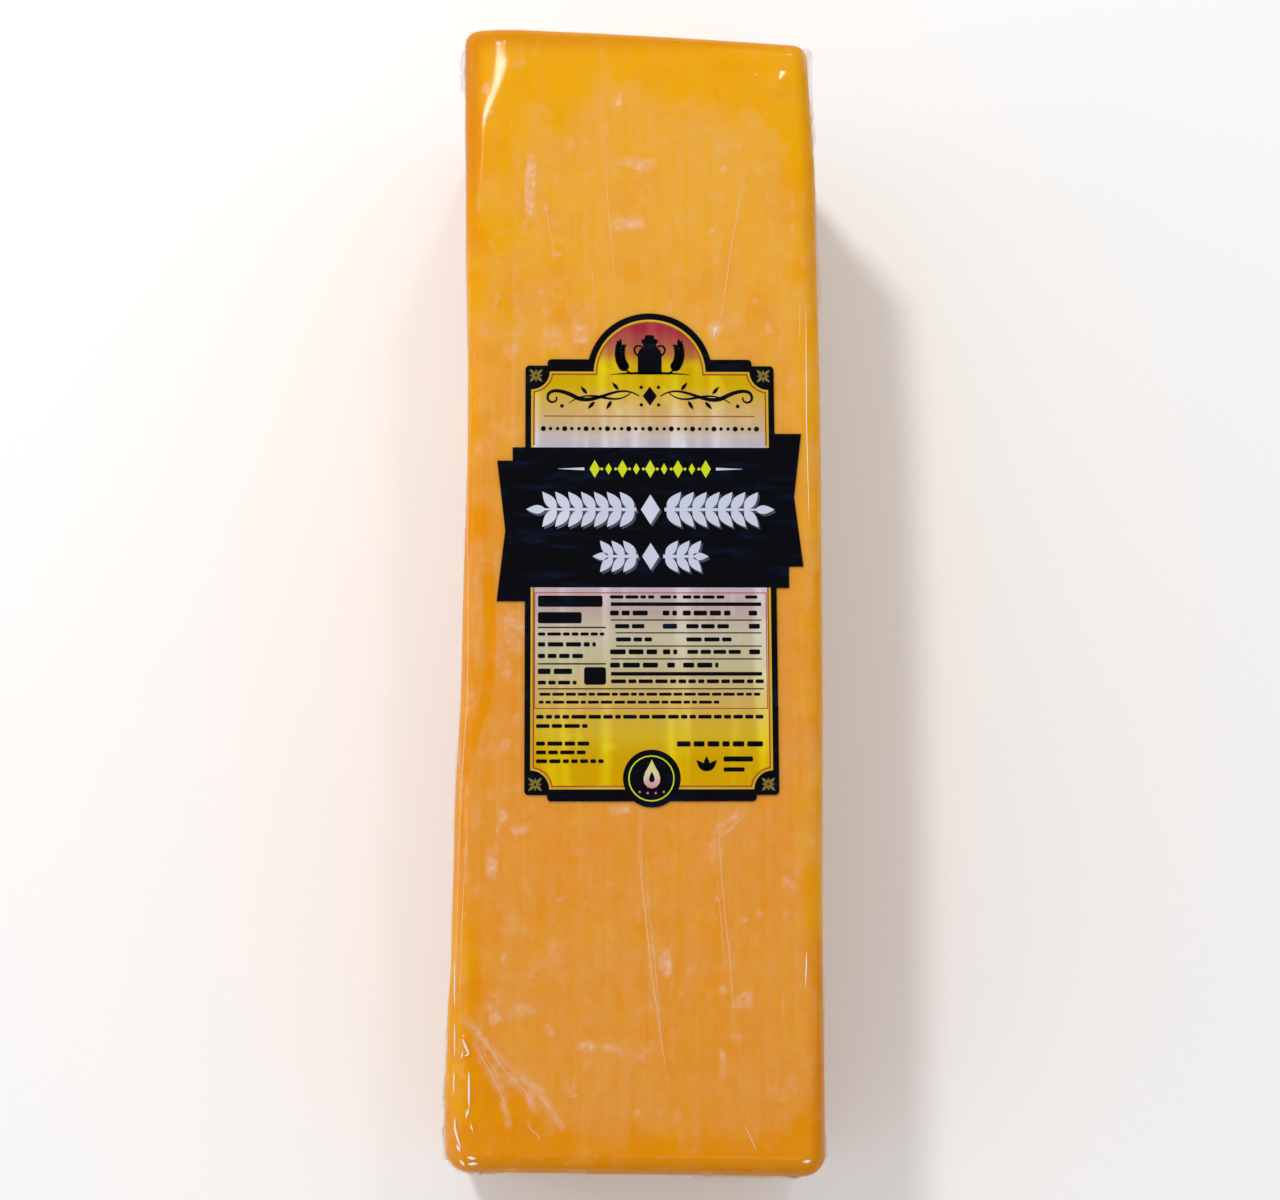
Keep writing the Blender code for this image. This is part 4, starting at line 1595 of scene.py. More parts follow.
def leaf(base: Place, length: float, width: float, turn: float) -> Outline:
    """A pointed leaf.

    Args:
        base: Where it starts.
        length: From base to tip.
        width: Across its widest part.
        turn: Which way the tip lies, in degrees from U.

    Returns:
        Its outline.
    """
    upper = [(length * i / 7.0, width / 2.0 * math.sin(math.pi * (i / 7.0) ** 0.8)) for i in range(8)]
    lower = [(u, -v) for u, v in reversed(upper[1:-1])]
    c, s = math.cos(math.radians(turn)), math.sin(math.radians(turn))
    return [(base[0] + u * c - v * s, base[1] + u * s + v * c) for u, v in upper + lower]


def bend(first: Place, second: Place, third: Place, fourth: Place, count: int = 14) -> Outline:
    """Gives points of a Bezier curve.

    Args:
        first: Where it starts.
        second: Where it heads from there.
        third: Where it comes from at its end.
        fourth: Where it ends.
        count: How many pieces it is cut in.

    Returns:
        The points, with both ends.
    """
    t = np.linspace(0.0, 1.0, count + 1)
    weights = np.stack([(1 - t) ** 3, 3 * t * (1 - t) ** 2, 3 * t**2 * (1 - t), t**3], axis=1)
    return [tuple(point) for point in (weights @ np.array([first, second, third, fourth])).tolist()]


def ribbon(path: Outline, start: float, middle: float, end: float) -> Outline:
    """A stroke along a path.

    Args:
        path: Its middle line.
        start: Its width at the start.
        middle: Its width halfway.
        end: Its width at the end.

    Returns:
        Its outline.
    """
    left, right = [], []
    for i, (u, v) in enumerate(path):
        width = np.interp(i / (len(path) - 1), (0.0, 0.5, 1.0), (start, middle, end))
        before, after = path[max(i - 1, 0)], path[min(i + 1, len(path) - 1)]
        du, dv = after[0] - before[0], after[1] - before[1]
        out = width / 2.0 / math.hypot(du, dv)
        left.append((u - dv * out, v + du * out))
        right.append((u + dv * out, v - du * out))
    return left + right[::-1]


def both_ways(shapes: list[Shape]) -> list[Shape]:
    """Shapes with their mirror image across the label's middle line."""
    return shapes + [[[(-u, v) for u, v in ring] for ring in shape] for shape in shapes]


# The printed label


@dataclass(frozen=True)
class LabelShape:
    """The label's shape on its own axes: U to the right and V up, in millimetres."""

    half_width: float = 30.15
    side_bar: float = 1.4
    shoulder_half_width: float = 24.8
    corner_rounding: float = 1.0
    top_corner: float = 53.1
    shoulder: float = 54.7
    upper_top: float = 51.6
    arch_centre: float = 51.1
    arch_radius: float = 15.2
    arch_bar: float = 1.6
    scoop_radius: float = 4.5
    banner_half_width: float = 33.2
    banner_top: float = 32.7
    banner_bottom: float = -1.7
    left_tail: Stations = ((-33.2, 29.4), (-36.9, 29.4), (-34.9, 12.3), (-36.9, -5.0), (-30.15, -5.0))
    right_tail: Stations = ((33.2, 3.5), (36.7, 3.5), (34.7, 20.6), (36.6, 36.2), (30.15, 36.2))
    lower_bottom: float = -50.2
    bottom_corner: float = -51.5
    bottom_bar: float = -53.0
    badge_centre: float = -47.6
    badge_radius: float = 6.85

    def outline(self) -> Outline:
        """Draws the whole label's edge.

        Returns:
            Its points, anticlockwise.
        """
        right, up, left, down, full = (math.radians(turn) for turn in (0, 90, 180, 270, 360))
        side, r = self.half_width, self.corner_rounding
        inside = side - r
        badge_lean = math.asin((self.badge_centre - self.bottom_bar) / self.badge_radius)
        arch_lean = math.asin((self.shoulder - self.arch_centre) / self.arch_radius)
        low, high = self.bottom_corner + r, self.top_corner - r
        step = self.shoulder_half_width
        edge = arc((0.0, self.badge_centre), self.badge_radius, left + badge_lean, full - badge_lean, 5.0)
        edge += arc((step - r, self.bottom_bar + r), r, down, full)
        edge += [(step, self.bottom_corner)]
        edge += arc((inside, low), r, down, full)
        edge += [(side, self.banner_bottom), (self.banner_half_width, self.banner_bottom), *self.right_tail]
        edge += arc((inside, high), r, right, up)
        edge += [(step, self.top_corner)]
        edge += arc((step - r, self.shoulder - r), r, right, up)
        edge += arc((0.0, self.arch_centre), self.arch_radius, arch_lean, left - arch_lean, 4.0)
        edge += arc((r - step, self.shoulder - r), r, up, left)
        edge += [(-step, self.top_corner)]
        edge += arc((-inside, high), r, up, left)
        edge += [(-side, self.banner_top), (-self.banner_half_width, self.banner_top), *self.left_tail]
        edge += arc((-inside, low), r, left, down)
        edge += [(-step, self.bottom_corner)]
        return edge + arc((r - step, self.bottom_bar + r), r, left, down)

    def upper_field(self, shrink: float) -> Outline:
        """Draws the field above the banner.

        Args:
            shrink: How far inside its true edge the result lies.

        Returns:
            Its outline.
        """
        side = self.half_width - self.side_bar
        top, scoop = self.upper_top - shrink, self.scoop_radius + shrink
        arch = self.arch_radius - self.arch_bar - shrink
        reach = math.asin(shrink / scoop)
        right_scoop = arc((side, self.upper_top), scoop, math.radians(270) - reach, math.radians(180) + reach)
        dip = math.asin((top - self.arch_centre) / arch)
        low = self.banner_top + shrink
        edge = [(-side + shrink, low), (side - shrink, low)] + right_scoop
        edge += arc((0.0, self.arch_centre), arch, dip, math.pi - dip, 4.0)
        return edge + [(-u, v) for u, v in reversed(right_scoop)]

    def left_scoop(self, shrink: float) -> Outline:
        """The scooped corner at the lower field's left, inside its true edge by shrink.

        Args:
            shrink: How far inside, in millimetres.

        Returns:
            Its points, one after the other.
        """
        centre, scoop = (self.side_bar - self.half_width, self.lower_bottom), self.scoop_radius + shrink
        reach = math.asin(shrink / scoop)
        return arc(centre, scoop, math.radians(90) - reach, reach)

    def lower_field(self, shrink: float) -> Outline:
        """Draws the field below the banner.

        Args:
            shrink: How far inside its true edge the result lies.

        Returns:
            Its outline.
        """
        side = self.half_width - self.side_bar - shrink
        badge = self.badge_radius + shrink
        lift = math.asin((self.lower_bottom + shrink - self.badge_centre) / badge)
        high = self.banner_bottom - shrink
        scoop = self.left_scoop(shrink)
        edge = [(side, high), (-side, high)] + scoop
        edge += arc((0.0, self.badge_centre), badge, math.pi - lift, lift, 5.0)
        return edge + [(-u, v) for u, v in reversed(scoop)]

    def upper_line(self, outer: float, inner: float) -> Shape:
        """Draws a line along the upper field's edge, which stops at the banner.

        Args:
            outer: How far inside the field's edge its outer side lies.
            inner: How far its inner side does.

        Returns:
            The line's shape.
        """
        outside, inside = self.upper_field(outer), self.upper_field(inner)
        outside, inside = outside[1:] + outside[:1], inside[1:] + inside[:1]
        inside[0] = (inside[0][0], outside[0][1])
        inside[-1] = (inside[-1][0], outside[-1][1])
        return [outside + inside[::-1]]

    def lower_corner(self, shrink: float) -> Outline:
        """Follows the lower field's left edge from the banner down to the badge.

        Args:
            shrink: How far inside the edge the result lies.

        Returns:
            The path.
        """
        bottom = self.lower_bottom + shrink
        badge = math.sqrt(self.badge_radius**2 - (bottom - self.badge_centre) ** 2)
        start = (shrink + self.side_bar - self.half_width, self.banner_bottom)
        return [start] + self.left_scoop(shrink) + [(-badge, bottom)]

    def lower_lines(self, outer: float, inner: float) -> list[Shape]:
        """Lines along the lower field's edge on either side of the badge."""
        return both_ways([[self.lower_corner(outer) + self.lower_corner(inner)[::-1]]])


@dataclass(frozen=True)
class Stamp:
    """One repeat of a small printed shape: its place on the label, its turn in degrees and its size."""

    u: float
    v: float
    turn: float = 0.0
    size: float = 1.0


def stamp_tree() -> bpy.types.GeometryNodeTree:
    """Builds the Geometry Nodes that put a motif on every point, turned and sized by its attributes.

    Returns:
        The tree.
    """
    nodes = ShapeTree("label_stamps", Motif="Object", Material="Material")
    motif = nodes.add("GeometryNodeObjectInfo", {"Object": nodes.inputs["Motif"]}).outputs["Geometry"]
    turn = nodes.add("ShaderNodeCombineXYZ", {"Z": nodes.read("turn")}).outputs[0]
    size = nodes.read("size")
    scale = nodes.add("ShaderNodeCombineXYZ", {"X": size, "Y": size, "Z": 1.0}).outputs[0]
    values = {"Points": nodes.inputs["Geometry"], "Instance": motif, "Rotation": turn, "Scale": scale}
    return nodes.closed(nodes.add("GeometryNodeInstanceOnPoints", values).outputs[0])


@dataclass
class Press:
    """Lays printed shapes on the film as thin plates.

    Attributes:
        across: How far the label's middle lies to the right of the loaf's.
        turn: How far the label is turned.
    """

    tree: bpy.types.GeometryNodeTree
    across: float = 2.5
    turn: float = math.radians(0.2)

    def placed(self, u: float, v: float) -> Place:
        """Moves a label place to the row's frame, in metres."""
        c, s = math.cos(self.turn), math.sin(self.turn)
        return tuple(to_metres((self.across + u * c - v * s, u * s + v * c, 0.0))[:2])

    def plate(self, name: str, shapes: Iterable[Shape], low: float, high: float) -> Piece:
        """Makes thin plates of one ink."""
        placed = [[[self.placed(u, v) for u, v in ring] for ring in shape] for shape in shapes]
        return thin_plates(name, placed, low * MILLIMETRE, high * MILLIMETRE)

    def stamp(self, name: str, motif: Outline, marks: Sequence[Stamp], low: float, high: float) -> Piece:
        """Repeats one small shape over the label with Geometry Nodes.

        Args:
            name: Name of the piece.
            motif: The shape, about its own middle.
            marks: Where it lies, which way it turns and its size.
            low: Height of the underside in millimetres.
            high: Height of the face.

        Returns:
            The mesh object.
        """
        scaled = [[(u * MILLIMETRE, v * MILLIMETRE) for u, v in motif]]
        pattern = thin_plates(name + "_motif", [scaled], low * MILLIMETRE, high * MILLIMETRE)
        places = raw_object(name + "_places", [(*self.placed(one.u, one.v), 0.0) for one in marks])
        mark(places, "turn", [math.radians(one.turn) + self.turn for one in marks])
        mark(places, "size", [one.size for one in marks])
        made = run_tree(self.tree, places, name, {"Motif": pattern})
        bpy.data.objects.remove(pattern, do_unlink=True)
        return made


# Rows of bars on the lower field: left end, height, right end and the bars' own height
BAR_ROWS = (
    (-27.0, -13.0, -11.2, 1.1), (-27.0, -15.5, -13.2, 1.5), (-27.0, -18.3, -15.4, 1.5),
    (-27.0, -22.0, -17.6, 1.9), (-27.0, -24.7, -17.8, 1.3), (-9.8, -4.0, 0.8, 1.1), (2.2, -4.0, 6.2, 1.1),
    (7.6, -4.0, 17.6, 1.1), (22.6, -4.0, 26.4, 1.1), (-9.8, -7.9, 0.0, 1.7), (2.8, -7.9, 6.2, 1.7),
    (7.6, -7.9, 19.0, 1.7), (23.4, -7.9, 26.0, 1.7), (-8.6, -11.1, -1.6, 1.5), (2.8, -11.1, 6.2, 1.7),
    (8.4, -11.1, 19.6, 1.5), (23.4, -11.1, 26.0, 1.7), (-8.4, -14.3, 0.2, 1.4), (8.4, -14.3, 19.2, 1.4),
    (-9.8, -17.3, 1.4, 1.7), (2.8, -17.3, 6.2, 1.7), (8.6, -17.3, 22.2, 1.4), (23.4, -17.3, 26.0, 1.7),
    (-9.8, -20.5, 1.6, 1.7), (3.8, -20.5, 6.2, 1.7), (7.6, -20.5, 16.0, 1.7), (-9.6, -24.4, 26.8, 1.3),
    (-26.6, -27.5, 26.4, 1.0), (-26.8, -29.4, 16.4, 1.0), (-27.4, -32.9, 26.6, 1.3),
    (-27.4, -35.1, -15.2, 1.3), (-27.4, -39.3, -14.8, 1.4), (-27.4, -41.4, -15.6, 1.3),
    (-27.4, -43.5, -11.4, 1.3), (6.0, -39.4, 26.4, 1.8),
)
# Rules of the lower field: left end, height, right end and thickness
RULES = (
    (-27.0, -11.4, -10.8, 0.3), (-27.0, -20.2, -10.8, 0.3), (-9.6, -5.75, 26.4, 0.85),
    (-9.6, -9.6, 26.4, 0.25), (-8.4, -12.7, 26.4, 0.25), (-8.4, -15.9, 26.4, 0.25),
    (-9.6, -19.0, 26.4, 0.25), (-9.6, -22.6, 26.4, 0.85), (-27.0, -26.2, 26.8, 0.25),
)


def table_bars() -> list[Shape]:
    """Draws rows of plain bars of uneven length, set like the lines of a table.

    Returns:
        The bars.
    """
    draw = np.random.default_rng(12)
    bars = []
    for left, height, right, size in BAR_ROWS:
        while left < right - 0.5:
            long = min(draw.uniform(1.3, 3.6) * (0.5 + size * 0.4), right - left)
            bars.append([bar(left, height - size * 0.34, left + long, height + size * 0.34, 0.2)])
            left += long + size * 0.42
    return bars


def churn() -> list[Shape]:
    """Draws a milk churn between two ears of corn, standing on a low mound.

    Returns:
        Their shapes.
    """
    body = [(-2.9, 51.0), (2.9, 51.0), (2.9, 56.0), (2.6, 56.9), (1.7, 57.9), (1.5, 58.5)]
    body += [(2.0, 59.0), (2.0, 59.5), (1.1, 60.0), (1.1, 60.6), (0.5, 60.8)]
    whole = body + [(-u, v) for u, v in reversed(body)]
    handle = ribbon(bend((1.9, 57.9), (4.0, 58.8), (4.2, 56.4), (2.8, 55.6)), 0.4, 0.5, 0.4)
    stalk = bend((4.2, 51.0), (6.4, 51.9), (7.9, 54.2), (7.3, 57.7), 12)
    half = [handle, ribbon(stalk, 0.45, 0.4, 0.3), leaf(stalk[-1], 2.3, 0.85, 97.0)]
    for i in range(3, 13):
        half += [leaf(stalk[i], 1.9, 0.85, turn + i * 6.0) for turn in (-2.0, 88.0)]
    mound = ribbon([(-9.6, 50.9), (-5.0, 51.2), (0.0, 51.3), (5.0, 51.2), (9.6, 50.9)], 0.1, 0.8, 0.1)
    return [[whole], [mound]] + both_ways([[outline] for outline in half])


def flourish() -> list[Shape]:
    """Draws thin black scrolls on either side of a diamond.

    Returns:
        Their shapes.
    """
    sweep = bend((2.6, 45.5), (8.0, 49.4), (13.0, 42.6), (18.0, 45.2), 22)
    curl = bend((18.0, 45.2), (21.5, 47.2), (24.6, 47.4), (24.8, 45.2), 12)
    hook = bend((24.8, 45.2), (24.8, 43.4), (22.2, 43.6), (22.6, 45.3), 8)
    under = bend((4.6, 46.4), (9.0, 42.0), (13.6, 48.4), (19.6, 43.7), 22)
    half = [ribbon(sweep + curl[1:] + hook[1:], 0.25, 1.05, 0.35), ribbon(under, 0.2, 0.6, 0.15)]
    half += [disc((2.1, 43.3), 0.42), disc((2.1, 47.7), 0.42), disc((21.3, 43.0), 0.45)]
    for u, v, turn in ((7.6, 47.0, 52.0), (9.3, 44.3, -60.0), (13.4, 44.1, -48.0), (15.2, 46.0, 50.0)):
        half.append(leaf((u, v), 2.5, 0.85, turn))
    return both_ways([[outline] for outline in half]) + [[lozenge((0.0, 45.5), 3.4, 4.8)]]


@dataclass(frozen=True)
class Garland:
    """A row of leaves in pairs along a stem, pointing away from a diamond in the middle.

    Attributes:
        reach: From the middle to a tip.
        height: Where it lies on the label.
        tall: Height of a pair of leaves.
        gap: Bare stretch beside the middle.
    """

    reach: float
    height: float
    tall: float
    gap: float

    def leaves(self, shift: Place) -> list[Stamp]:
        """Places its leaves.

        Args:
            shift: How far all of it is moved.

        Returns:
            A stamp for each leaf.
        """
        size, tip = self.tall / 7.4, self.reach - self.tall * 0.55
        rows, place = [], self.gap + 0.6
        while place < tip:
            rows += [(place, 52.0, size), (place, -52.0, size)]
            place += self.tall * 0.42
        rows.append((tip, 0.0, size * 0.85))
        marks = []
        for place, turn, size in rows:
            marks.append(Stamp(place + shift[0], self.height + shift[1], turn, size))
            marks.append(Stamp(-place + shift[0], self.height + shift[1], 180.0 - turn, size))
        return marks

    def stem(self, shift: Place) -> list[Shape]:
        """Draws its stem and its diamond.

        Args:
            shift: How far all of it is moved.

        Returns:
            Their shapes.
        """
        path = [(u, self.height) for u in (self.gap, self.reach * 0.6, self.reach - 1.5)]
        shapes = both_ways([[ribbon(path, 0.9, 0.7, 0.4)]])
        shapes += [[lozenge((0.0, self.height), self.tall * 0.62, self.tall)]]
        return [[[(u + shift[0], v + shift[1]) for u, v in ring] for ring in shape] for shape in shapes]


# Colours of the upper field, from the bottom up: height, colour and colour in a streak of painted reflection
DAWN = (
    (33.0, (0.434, 0.404, 0.451), (0.726, 0.696, 0.764)),
    (35.0, (0.483, 0.42, 0.39), (0.735, 0.69, 0.70)),
    (36.5, (0.502, 0.37, 0.225), (0.729, 0.64, 0.50)),
    (39.0, (0.531, 0.375, 0.167), (0.739, 0.612, 0.402)),
    (42.0, (0.561, 0.353, 0.095), (0.739, 0.572, 0.254)),
    (47.0, (0.553, 0.344, 0.00237), (0.751, 0.617, 0.0169)),
    (52.5, (0.534, 0.327, 0.00075), (0.764, 0.626, 0.00225)),
    (55.0, (0.396, 0.126, 0.025), (0.598, 0.312, 0.045)),
    (57.5, (0.332, 0.0731, 0.052), (0.5, 0.164, 0.08)),
    (61.0, (0.308, 0.0243, 0.0336), (0.462, 0.077, 0.0821)),
    (66.0, (0.337, 0.0139, 0.0384), (0.48, 0.056, 0.0864)),
)
# Colours of the lower field, likewise
NOON = (
    (-51.0, (0.574, 0.309, 0.00012), (0.796, 0.58, 0.00084)),
    (-43.0, (0.555, 0.317, 0.00052), (0.796, 0.646, 0.00525)),
    (-38.0, (0.574, 0.381, 0.0162), (0.8, 0.67, 0.0271)),
    (-34.0, (0.561, 0.364, 0.0376), (0.792, 0.642, 0.0926)),
    (-29.0, (0.536, 0.36, 0.103), (0.777, 0.614, 0.176)),
    (-21.5, (0.469, 0.408, 0.235), (0.715, 0.665, 0.449)),
    (-13.0, (0.502, 0.437, 0.315), (0.715, 0.665, 0.534)),
    (-8.0, (0.429, 0.325, 0.286), (0.679, 0.605, 0.565)),
    (-1.0, (0.485, 0.372, 0.429), (0.721, 0.631, 0.716)),
)
# Colours of the badge's drop, likewise
EMBER = (
    (-51.5, (0.50, 0.16, 0.20), (0.60, 0.26, 0.30)),
    (-49.0, (0.62, 0.36, 0.36), (0.70, 0.46, 0.46)),
    (-47.2, (0.62, 0.56, 0.34), (0.70, 0.66, 0.44)),
    (-43.2, (0.60, 0.58, 0.02), (0.70, 0.68, 0.05)),
)


@dataclass
class PrintedLabel:
    """The label: a black frame and banner, two yellow fields, and the ornaments on them.

    Attributes:
        sunk: Height of the undersides of the frame and fields.
        ink: How far an ornament goes into and over the face that it lies on.
        shadow_shift: How far the garlands' shadow lies from them.
    """

    shape: LabelShape
    press: Press
    sunk: float = 85.8
    black_top: float = 86.24
    field_top: float = 86.32
    ink: float = 0.05
    shadow_shift: Place = (0.45, -0.55)

    def fields(self, black: Material) -> None:
        """Makes the black frame with its banner, and the two coloured fields.

        Args:
            black: The black ink.
        """
        dawn = FieldFinish("label_dawn_field", DAWN).material()
        noon = FieldFinish("label_noon_field", NOON).material()
        shape, face = self.shape, self.field_top
        for name, edge, top, ink, slot, node in (
            ("frame", shape.outline(), self.black_top, black, Slot.BLACK, "label_frame"),
            ("upper", shape.upper_field(0.0), face, dawn, Slot.PALE_YELLOW, "label_upper_field"),
            ("lower", shape.lower_field(0.0), face, noon, Slot.YELLOW, "label_lower_field"),
        ):
            made = self.press.plate(f"label_{name}_print", [[edge]], self.sunk, top)
            settle_on(made, ink, slot.value, node)

    def lines(self) -> None:
        """Makes the gold and red lines inside the frame."""
        low, high = self.field_top - self.ink, self.field_top + self.ink
        boxes = [[bar(-25.6, 40.35, 25.3, 40.6)]]
        boxes += [[bar(-27.9, -31.0, 27.7, -2.9), bar(-27.7, -30.8, 27.5, -3.1)]]
        for name, colour, sheen_colour, outer, inner, more in (
            ("gold", (0.56, 0.37, 0.010), (0.62, 0.46, 0.03), 0.02, 0.5, []),
            ("red", (0.38, 0.060, 0.020), (0.44, 0.11, 0.05), 0.52, 0.86, boxes),
        ):
            ink = PrintFinish(f"label_{name}_ink", colour, sheen_colour).material()
            shapes = [self.shape.upper_line(outer, inner), *self.shape.lower_lines(outer, inner), *more]
            settle_on(self.press.plate(f"label_{name}_lines", shapes, low, high), ink, Slot.YELLOW.value)

    def black_marks(self, black: Material) -> None:
        """Makes all that is printed black on the fields.

        Args:
            black: The black ink.
        """
        low, high = self.field_top - self.ink, self.field_top + self.ink * 1.4
        table = [[bar(left, v - size / 2.0, right, v + size / 2.0)] for left, v, right, size in RULES]
        table += [[bar(-27.0, -6.4, -11.6, -3.7, 0.3)], [bar(-27.0, -10.4, -16.6, -7.7, 0.3)]]
        table += [[bar(-16.0, -25.2, -10.8, -21.0, 0.4)]]
        table += [[bar(17.0, -43.6, 24.0, -42.4, 0.25)], [bar(17.0, -46.0, 22.0, -45.0, 0.25)]]
        table += [[leaf((13.0, -45.9), 3.6, 1.5, turn)] for turn in (90.0, 132.0, 48.0)]
        dots = [Stamp(-25.8 + 1.72 * i, 37.35, 0.0, 1.0 if i % 3 else 1.45) for i in range(31)]
        for made in (
            self.press.plate("label_rules", table + table_bars(), low, high),
            self.press.plate("label_pictures", churn() + flourish(), low, high),
            self.press.stamp("label_dots", disc((0.0, 0.0), 0.42), dots, low, high),
        ):
            settle_on(made, black, Slot.BLACK.value)

    def garlands(self, low: float, high: float) -> None:
        """Makes the pale garlands of the banner with their shadow, and the pale strokes above them.

        Args:
            low: Height of their undersides.
            high: Height of their faces.
        """
        press = self.press
        shade = PrintFinish("label_shadow_ink", (0.060, 0.066, 0.092), (0.09, 0.10, 0.13)).material()
        pale = PrintFinish("label_pale_ink", (0.52, 0.55, 0.68), (0.62, 0.64, 0.74)).material()
        rows = (Garland(29.3, 17.4, 7.4, 3.4), Garland(13.4, 5.9, 6.6, 3.0))
        for title, ink, slot, shift, top in (
            ("shadow", shade, Slot.BLACK, self.shadow_shift, high - self.ink * 0.5),
            ("pale", pale, Slot.PALE_YELLOW, (0.0, 0.0), high + self.ink * 0.4),
        ):
            marks = [one for row in rows for one in row.leaves(shift)]
            made = press.stamp(f"label_{title}_leaves", leaf((0.0, 0.0), 5.5, 2.5, 0.0), marks, low, top)
            settle_on(made, ink, slot.value)
            stems = [one for row in rows for one in row.stem(shift)]
            settle_on(press.plate(f"label_{title}_stems", stems, low, top + 0.01), ink, slot.value)
        strokes = both_ways([[ribbon([(15.9, 27.4), (19.0, 27.4), (22.3, 27.4)], 0.7, 0.4, 0.05)]])
        settle_on(press.plate("label_pale_rules", strokes, low, high), pale, Slot.PALE_YELLOW.value)

    def banner_marks(self) -> None:
        """Makes the pale, yellow-green and gold ornaments on the black."""
        press, low, high = self.press, self.black_top - self.ink, self.black_top + self.ink
        self.garlands(low, high)
        lime = PrintFinish("label_lime_ink", (0.56, 0.62, 0.010), (0.60, 0.66, 0.05)).material()
        row = [Stamp(-13.4 + 3.35 * i, 27.4, 0.0, 0.64 if i % 2 else 1.0) for i in range(9)]
        made = press.stamp("label_lime_diamonds", lozenge((0.0, 0.0), 2.5, 4.4), row, low, high)
        settle_on(made, lime, Slot.YELLOW.value)
        ring = [[disc((-0.1, -47.6), 5.5), disc((-0.1, -47.6), 5.2)]]
        ring += [[disc((-11.7 + 3.35 * i, 27.4), 0.35)] for i in range(8)]
        settle_on(press.plate("label_lime_ring", ring, low, high), lime, Slot.YELLOW.value)
        drop = [(0.7, -44.6), (1.6, -46.2), (2.0, -47.6), (1.8, -48.8), (1.0, -49.7)]
        drop = [(0.0, -43.1), *drop, (0.0, -50.0), *((-u, v) for u, v in reversed(drop))]
        core = [(0.5, -47.0), (0.7, -47.9), (0.4, -48.5)]
        core = [(0.0, -45.9), *core, *((-u, v) for u, v in reversed(core))]
        dots = [[disc((-2.9 + 1.9 * i, -51.2 + 0.25 * abs(i - 1.5)), 0.28)] for i in range(4)]
        ember = FieldFinish("label_drop_field", EMBER).material()
        settle_on(press.plate("label_drop", [[drop, core], *dots], low, high), ember, Slot.PALE_YELLOW.value)
        olive = PrintFinish("label_dull_gold_ink", (0.20, 0.15, 0.03), (0.30, 0.23, 0.06)).material()
        corners = ((27.6, 50.6), (-27.6, 50.6), (27.6, -49.0), (-27.6, -49.0))
        petals = [Stamp(u, v, 45.0 * i, 1.0 if i % 2 else 0.7) for u, v in corners for i in range(8)]
        made = press.stamp("label_corner_flowers", leaf((0.25, 0.0), 2.0, 0.75, 0.0), petals, low, high)
        settle_on(made, olive, Slot.YELLOW.value)

    def build(self) -> None:
        """Makes every layer of the label, from the black frame up."""
        # Painted reflection: the black ink's navy streaks, laid across it, stand for the room seen in the
        # film over the banner.
        sheen_colour = (0.003, 0.008, 0.026)
        black = PrintFinish("label_black_ink", (0.0035, 0.0036, 0.0052), sheen_colour, 0.25, 0.07, 0.25).material()
        self.fields(black)
        self.lines()
        self.black_marks(black)
        self.banner_marks()


# Studio


@dataclass(frozen=True)
class Lamp:
    """One softbox.

    Attributes:
        place: Where it hangs, in millimetres.
        size: Its width and height.
        strength: Radiance of its face beside white.
        mirrored: Whether the film shows it.
    """

    name: str
    place: Point
    size: Place
    strength: float
    mirrored: bool = True

    def hang(self, aim: Vector) -> None:
        """Adds the light, facing a point in metres.

        Args:
            aim: The point.
        """
        data = bpy.data.lights.new(self.name, "AREA")
        data.shape = "ELLIPSE"
        data.size, data.size_y = (side * MILLIMETRE for side in self.size)
        data.energy = self.strength * math.pi * (math.pi / 4.0) * data.size * data.size_y
        lamp = linked(self.name, data)
        lamp.location = to_metres(self.place)
        lamp.rotation_euler = (aim - lamp.location).to_track_quat("-Z", "Y").to_euler()
        lamp.visible_glossy = self.mirrored
        lamp.visible_camera = False


LAMPS = (
    Lamp("key_lamp", (-363.0, 645.0, 1050.0), (135.0, 115.0), 96.0, False),
    Lamp("key_mirror", (-363.0, 630.0, 1050.0), (190.0, 135.0), 28.0),
    Lamp("key_glow", (-385.0, 520.0, 1050.0), (280.0, 110.0), 3.2),
    Lamp("side_strip", (-640.0, 60.0, 980.0), (90.0, 560.0), 2.6),
    Lamp("far_lamp", (230.0, 818.0, 1050.0), (110.0, 120.0), 42.0),
    Lamp("near_lamp", (90.0, -460.0, 1000.0), (260.0, 60.0), 4.0),
    Lamp("right_fill", (1500.0, 320.0, 700.0), (800.0, 1200.0), 0.25),
    Lamp("left_fill", (-1500.0, -500.0, 700.0), (2300.0, 1200.0), 0.7),
)


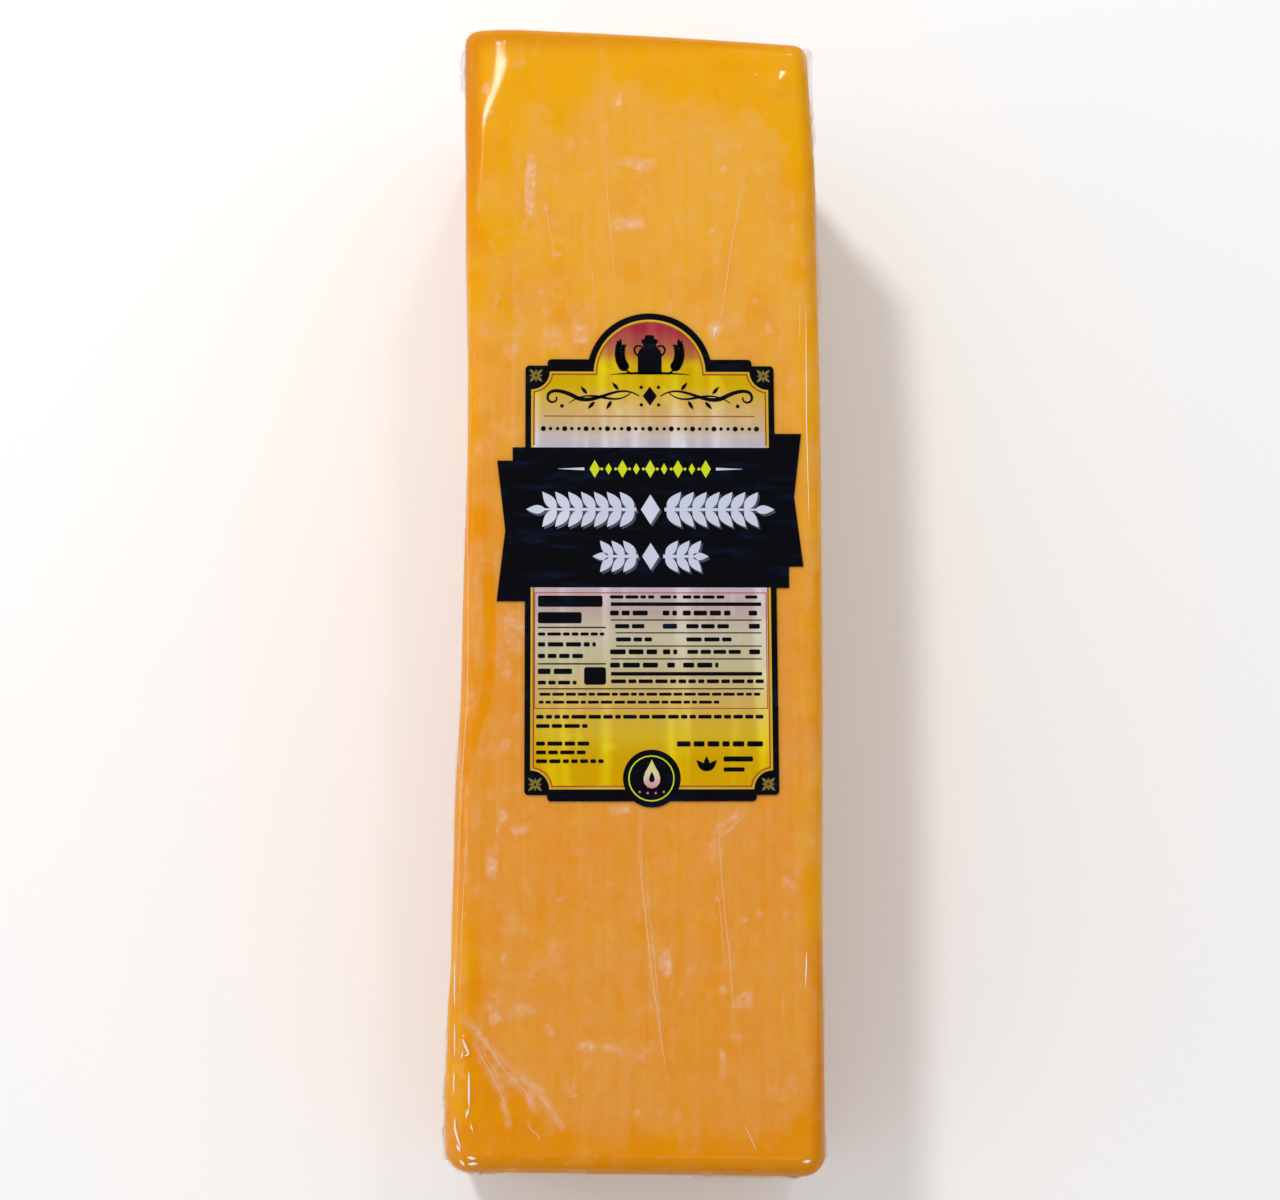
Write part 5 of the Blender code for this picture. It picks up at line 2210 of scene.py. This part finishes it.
@dataclass(frozen=True)
class Studio:
    """The camera, the pale floor and the lights.

    Attributes:
        pitch: How far it looks up the loaf, from straight down.
        sky: Strength of the even light from all around.
        aim: What the lamps face, in metres.
    """

    eye: Point = (-18.883, -118.624, 720.467)
    yaw: float = math.radians(1.67)
    pitch: float = math.radians(10.18)
    roll: float = math.radians(-0.06)
    lens: float = 75.77
    floor_size: float = 6.0
    floor_grey: float = 0.93
    sky: float = 0.61
    aim: Point = (0.0, 0.0, 0.05)

    def camera(self) -> None:
        """Adds the camera at the photograph's place."""
        flat = math.cos(self.yaw)
        ahead = Vector((math.sin(self.yaw), math.sin(self.pitch) * flat, -math.cos(self.pitch) * flat))
        right = ahead.cross(Vector((0.0, 1.0, 0.0))).normalized()
        up = right.cross(ahead)
        turned = right * math.cos(self.roll) + up * math.sin(self.roll)
        upright = up * math.cos(self.roll) - right * math.sin(self.roll)
        data = bpy.data.cameras.new("camera")
        data.lens = self.lens
        data.sensor_fit = "HORIZONTAL"
        data.sensor_width = 36.0
        data.clip_start = 0.01
        data.clip_end = 50.0
        camera = linked("camera", data)
        turn = Matrix((turned, upright, -ahead)).transposed().to_4x4()
        camera.matrix_world = Matrix.Translation(to_metres(self.eye)) @ turn
        bpy.context.scene.camera = camera

    def floor(self) -> None:
        """Adds the pale floor."""
        half = self.floor_size / 2.0
        corners = [(-half, -half, 0.0), (half, -half, 0.0), (half, half, 0.0), (-half, half, 0.0)]
        floor = raw_object("floor", corners, (), [(0, 1, 2, 3)])
        values = {"Base Color": (*[self.floor_grey] * 3, 1.0), "Roughness": 0.9, "Specular IOR Level": 0.0}
        floor.data.materials.append(Graph("pale_floor").principled(values))

    def light(self) -> None:
        """Hangs the lamps and sets the even light of the room."""
        for lamp in LAMPS:
            lamp.hang(Vector(self.aim))
        world = bpy.data.worlds.new("room")
        world.use_nodes = True
        room = world.node_tree.nodes["Background"].inputs
        room["Color"].default_value = (1.0, 1.0, 1.0, 1.0)
        room["Strength"].default_value = self.sky
        world.cycles_visibility.glossy = False
        scene = bpy.context.scene
        scene.world = world
        scene.view_settings.view_transform = "Standard"
        scene.view_settings.look = "None"


def main() -> None:
    """Builds the studio and the block in order."""
    logging.basicConfig(level=logging.INFO, format="%(message)s")
    studio = Studio()
    studio.camera()
    studio.floor()
    studio.light()
    form = LoafForm()
    loaf = SealedLoaf(form)
    loaf.cheese(CheddarFinish().material())
    ridges = FilmRidges(loaf.film(FilmFinish().material()), ridge_tree())
    ridge_film = CreaseFinish("folded_film", (1.0, 0.74, 0.44), 0.30).material()
    # Painted highlights: near-white milky folds stand for glints on the rims and corners.
    painted_glint_film = CreaseFinish("painted_glints", (1.0, 0.96, 0.90), 0.72).material()
    ridges.build("film_creases", TOP_RIDGES, ridge_film)
    ridges.build("edge_glints", EDGE_GLINTS, painted_glint_film)
    ridges.build("wall_creases", StrewnRidges(np.random.default_rng(61)).all(), ridge_film)
    slack = FilmFinish("slack_film", (0.86, 0.87, 0.95), (0.92, 0.92, 0.98), 0.0, 0.0, 0.12, 0.25, 0.22)
    slack_film = slack.material()
    for name, fold in LOOSE_FOLDS.items():
        fold.build(name, form, slack_film)
    PrintedLabel(LabelShape(), Press(stamp_tree())).build()


if __name__ == "__main__":
    main()
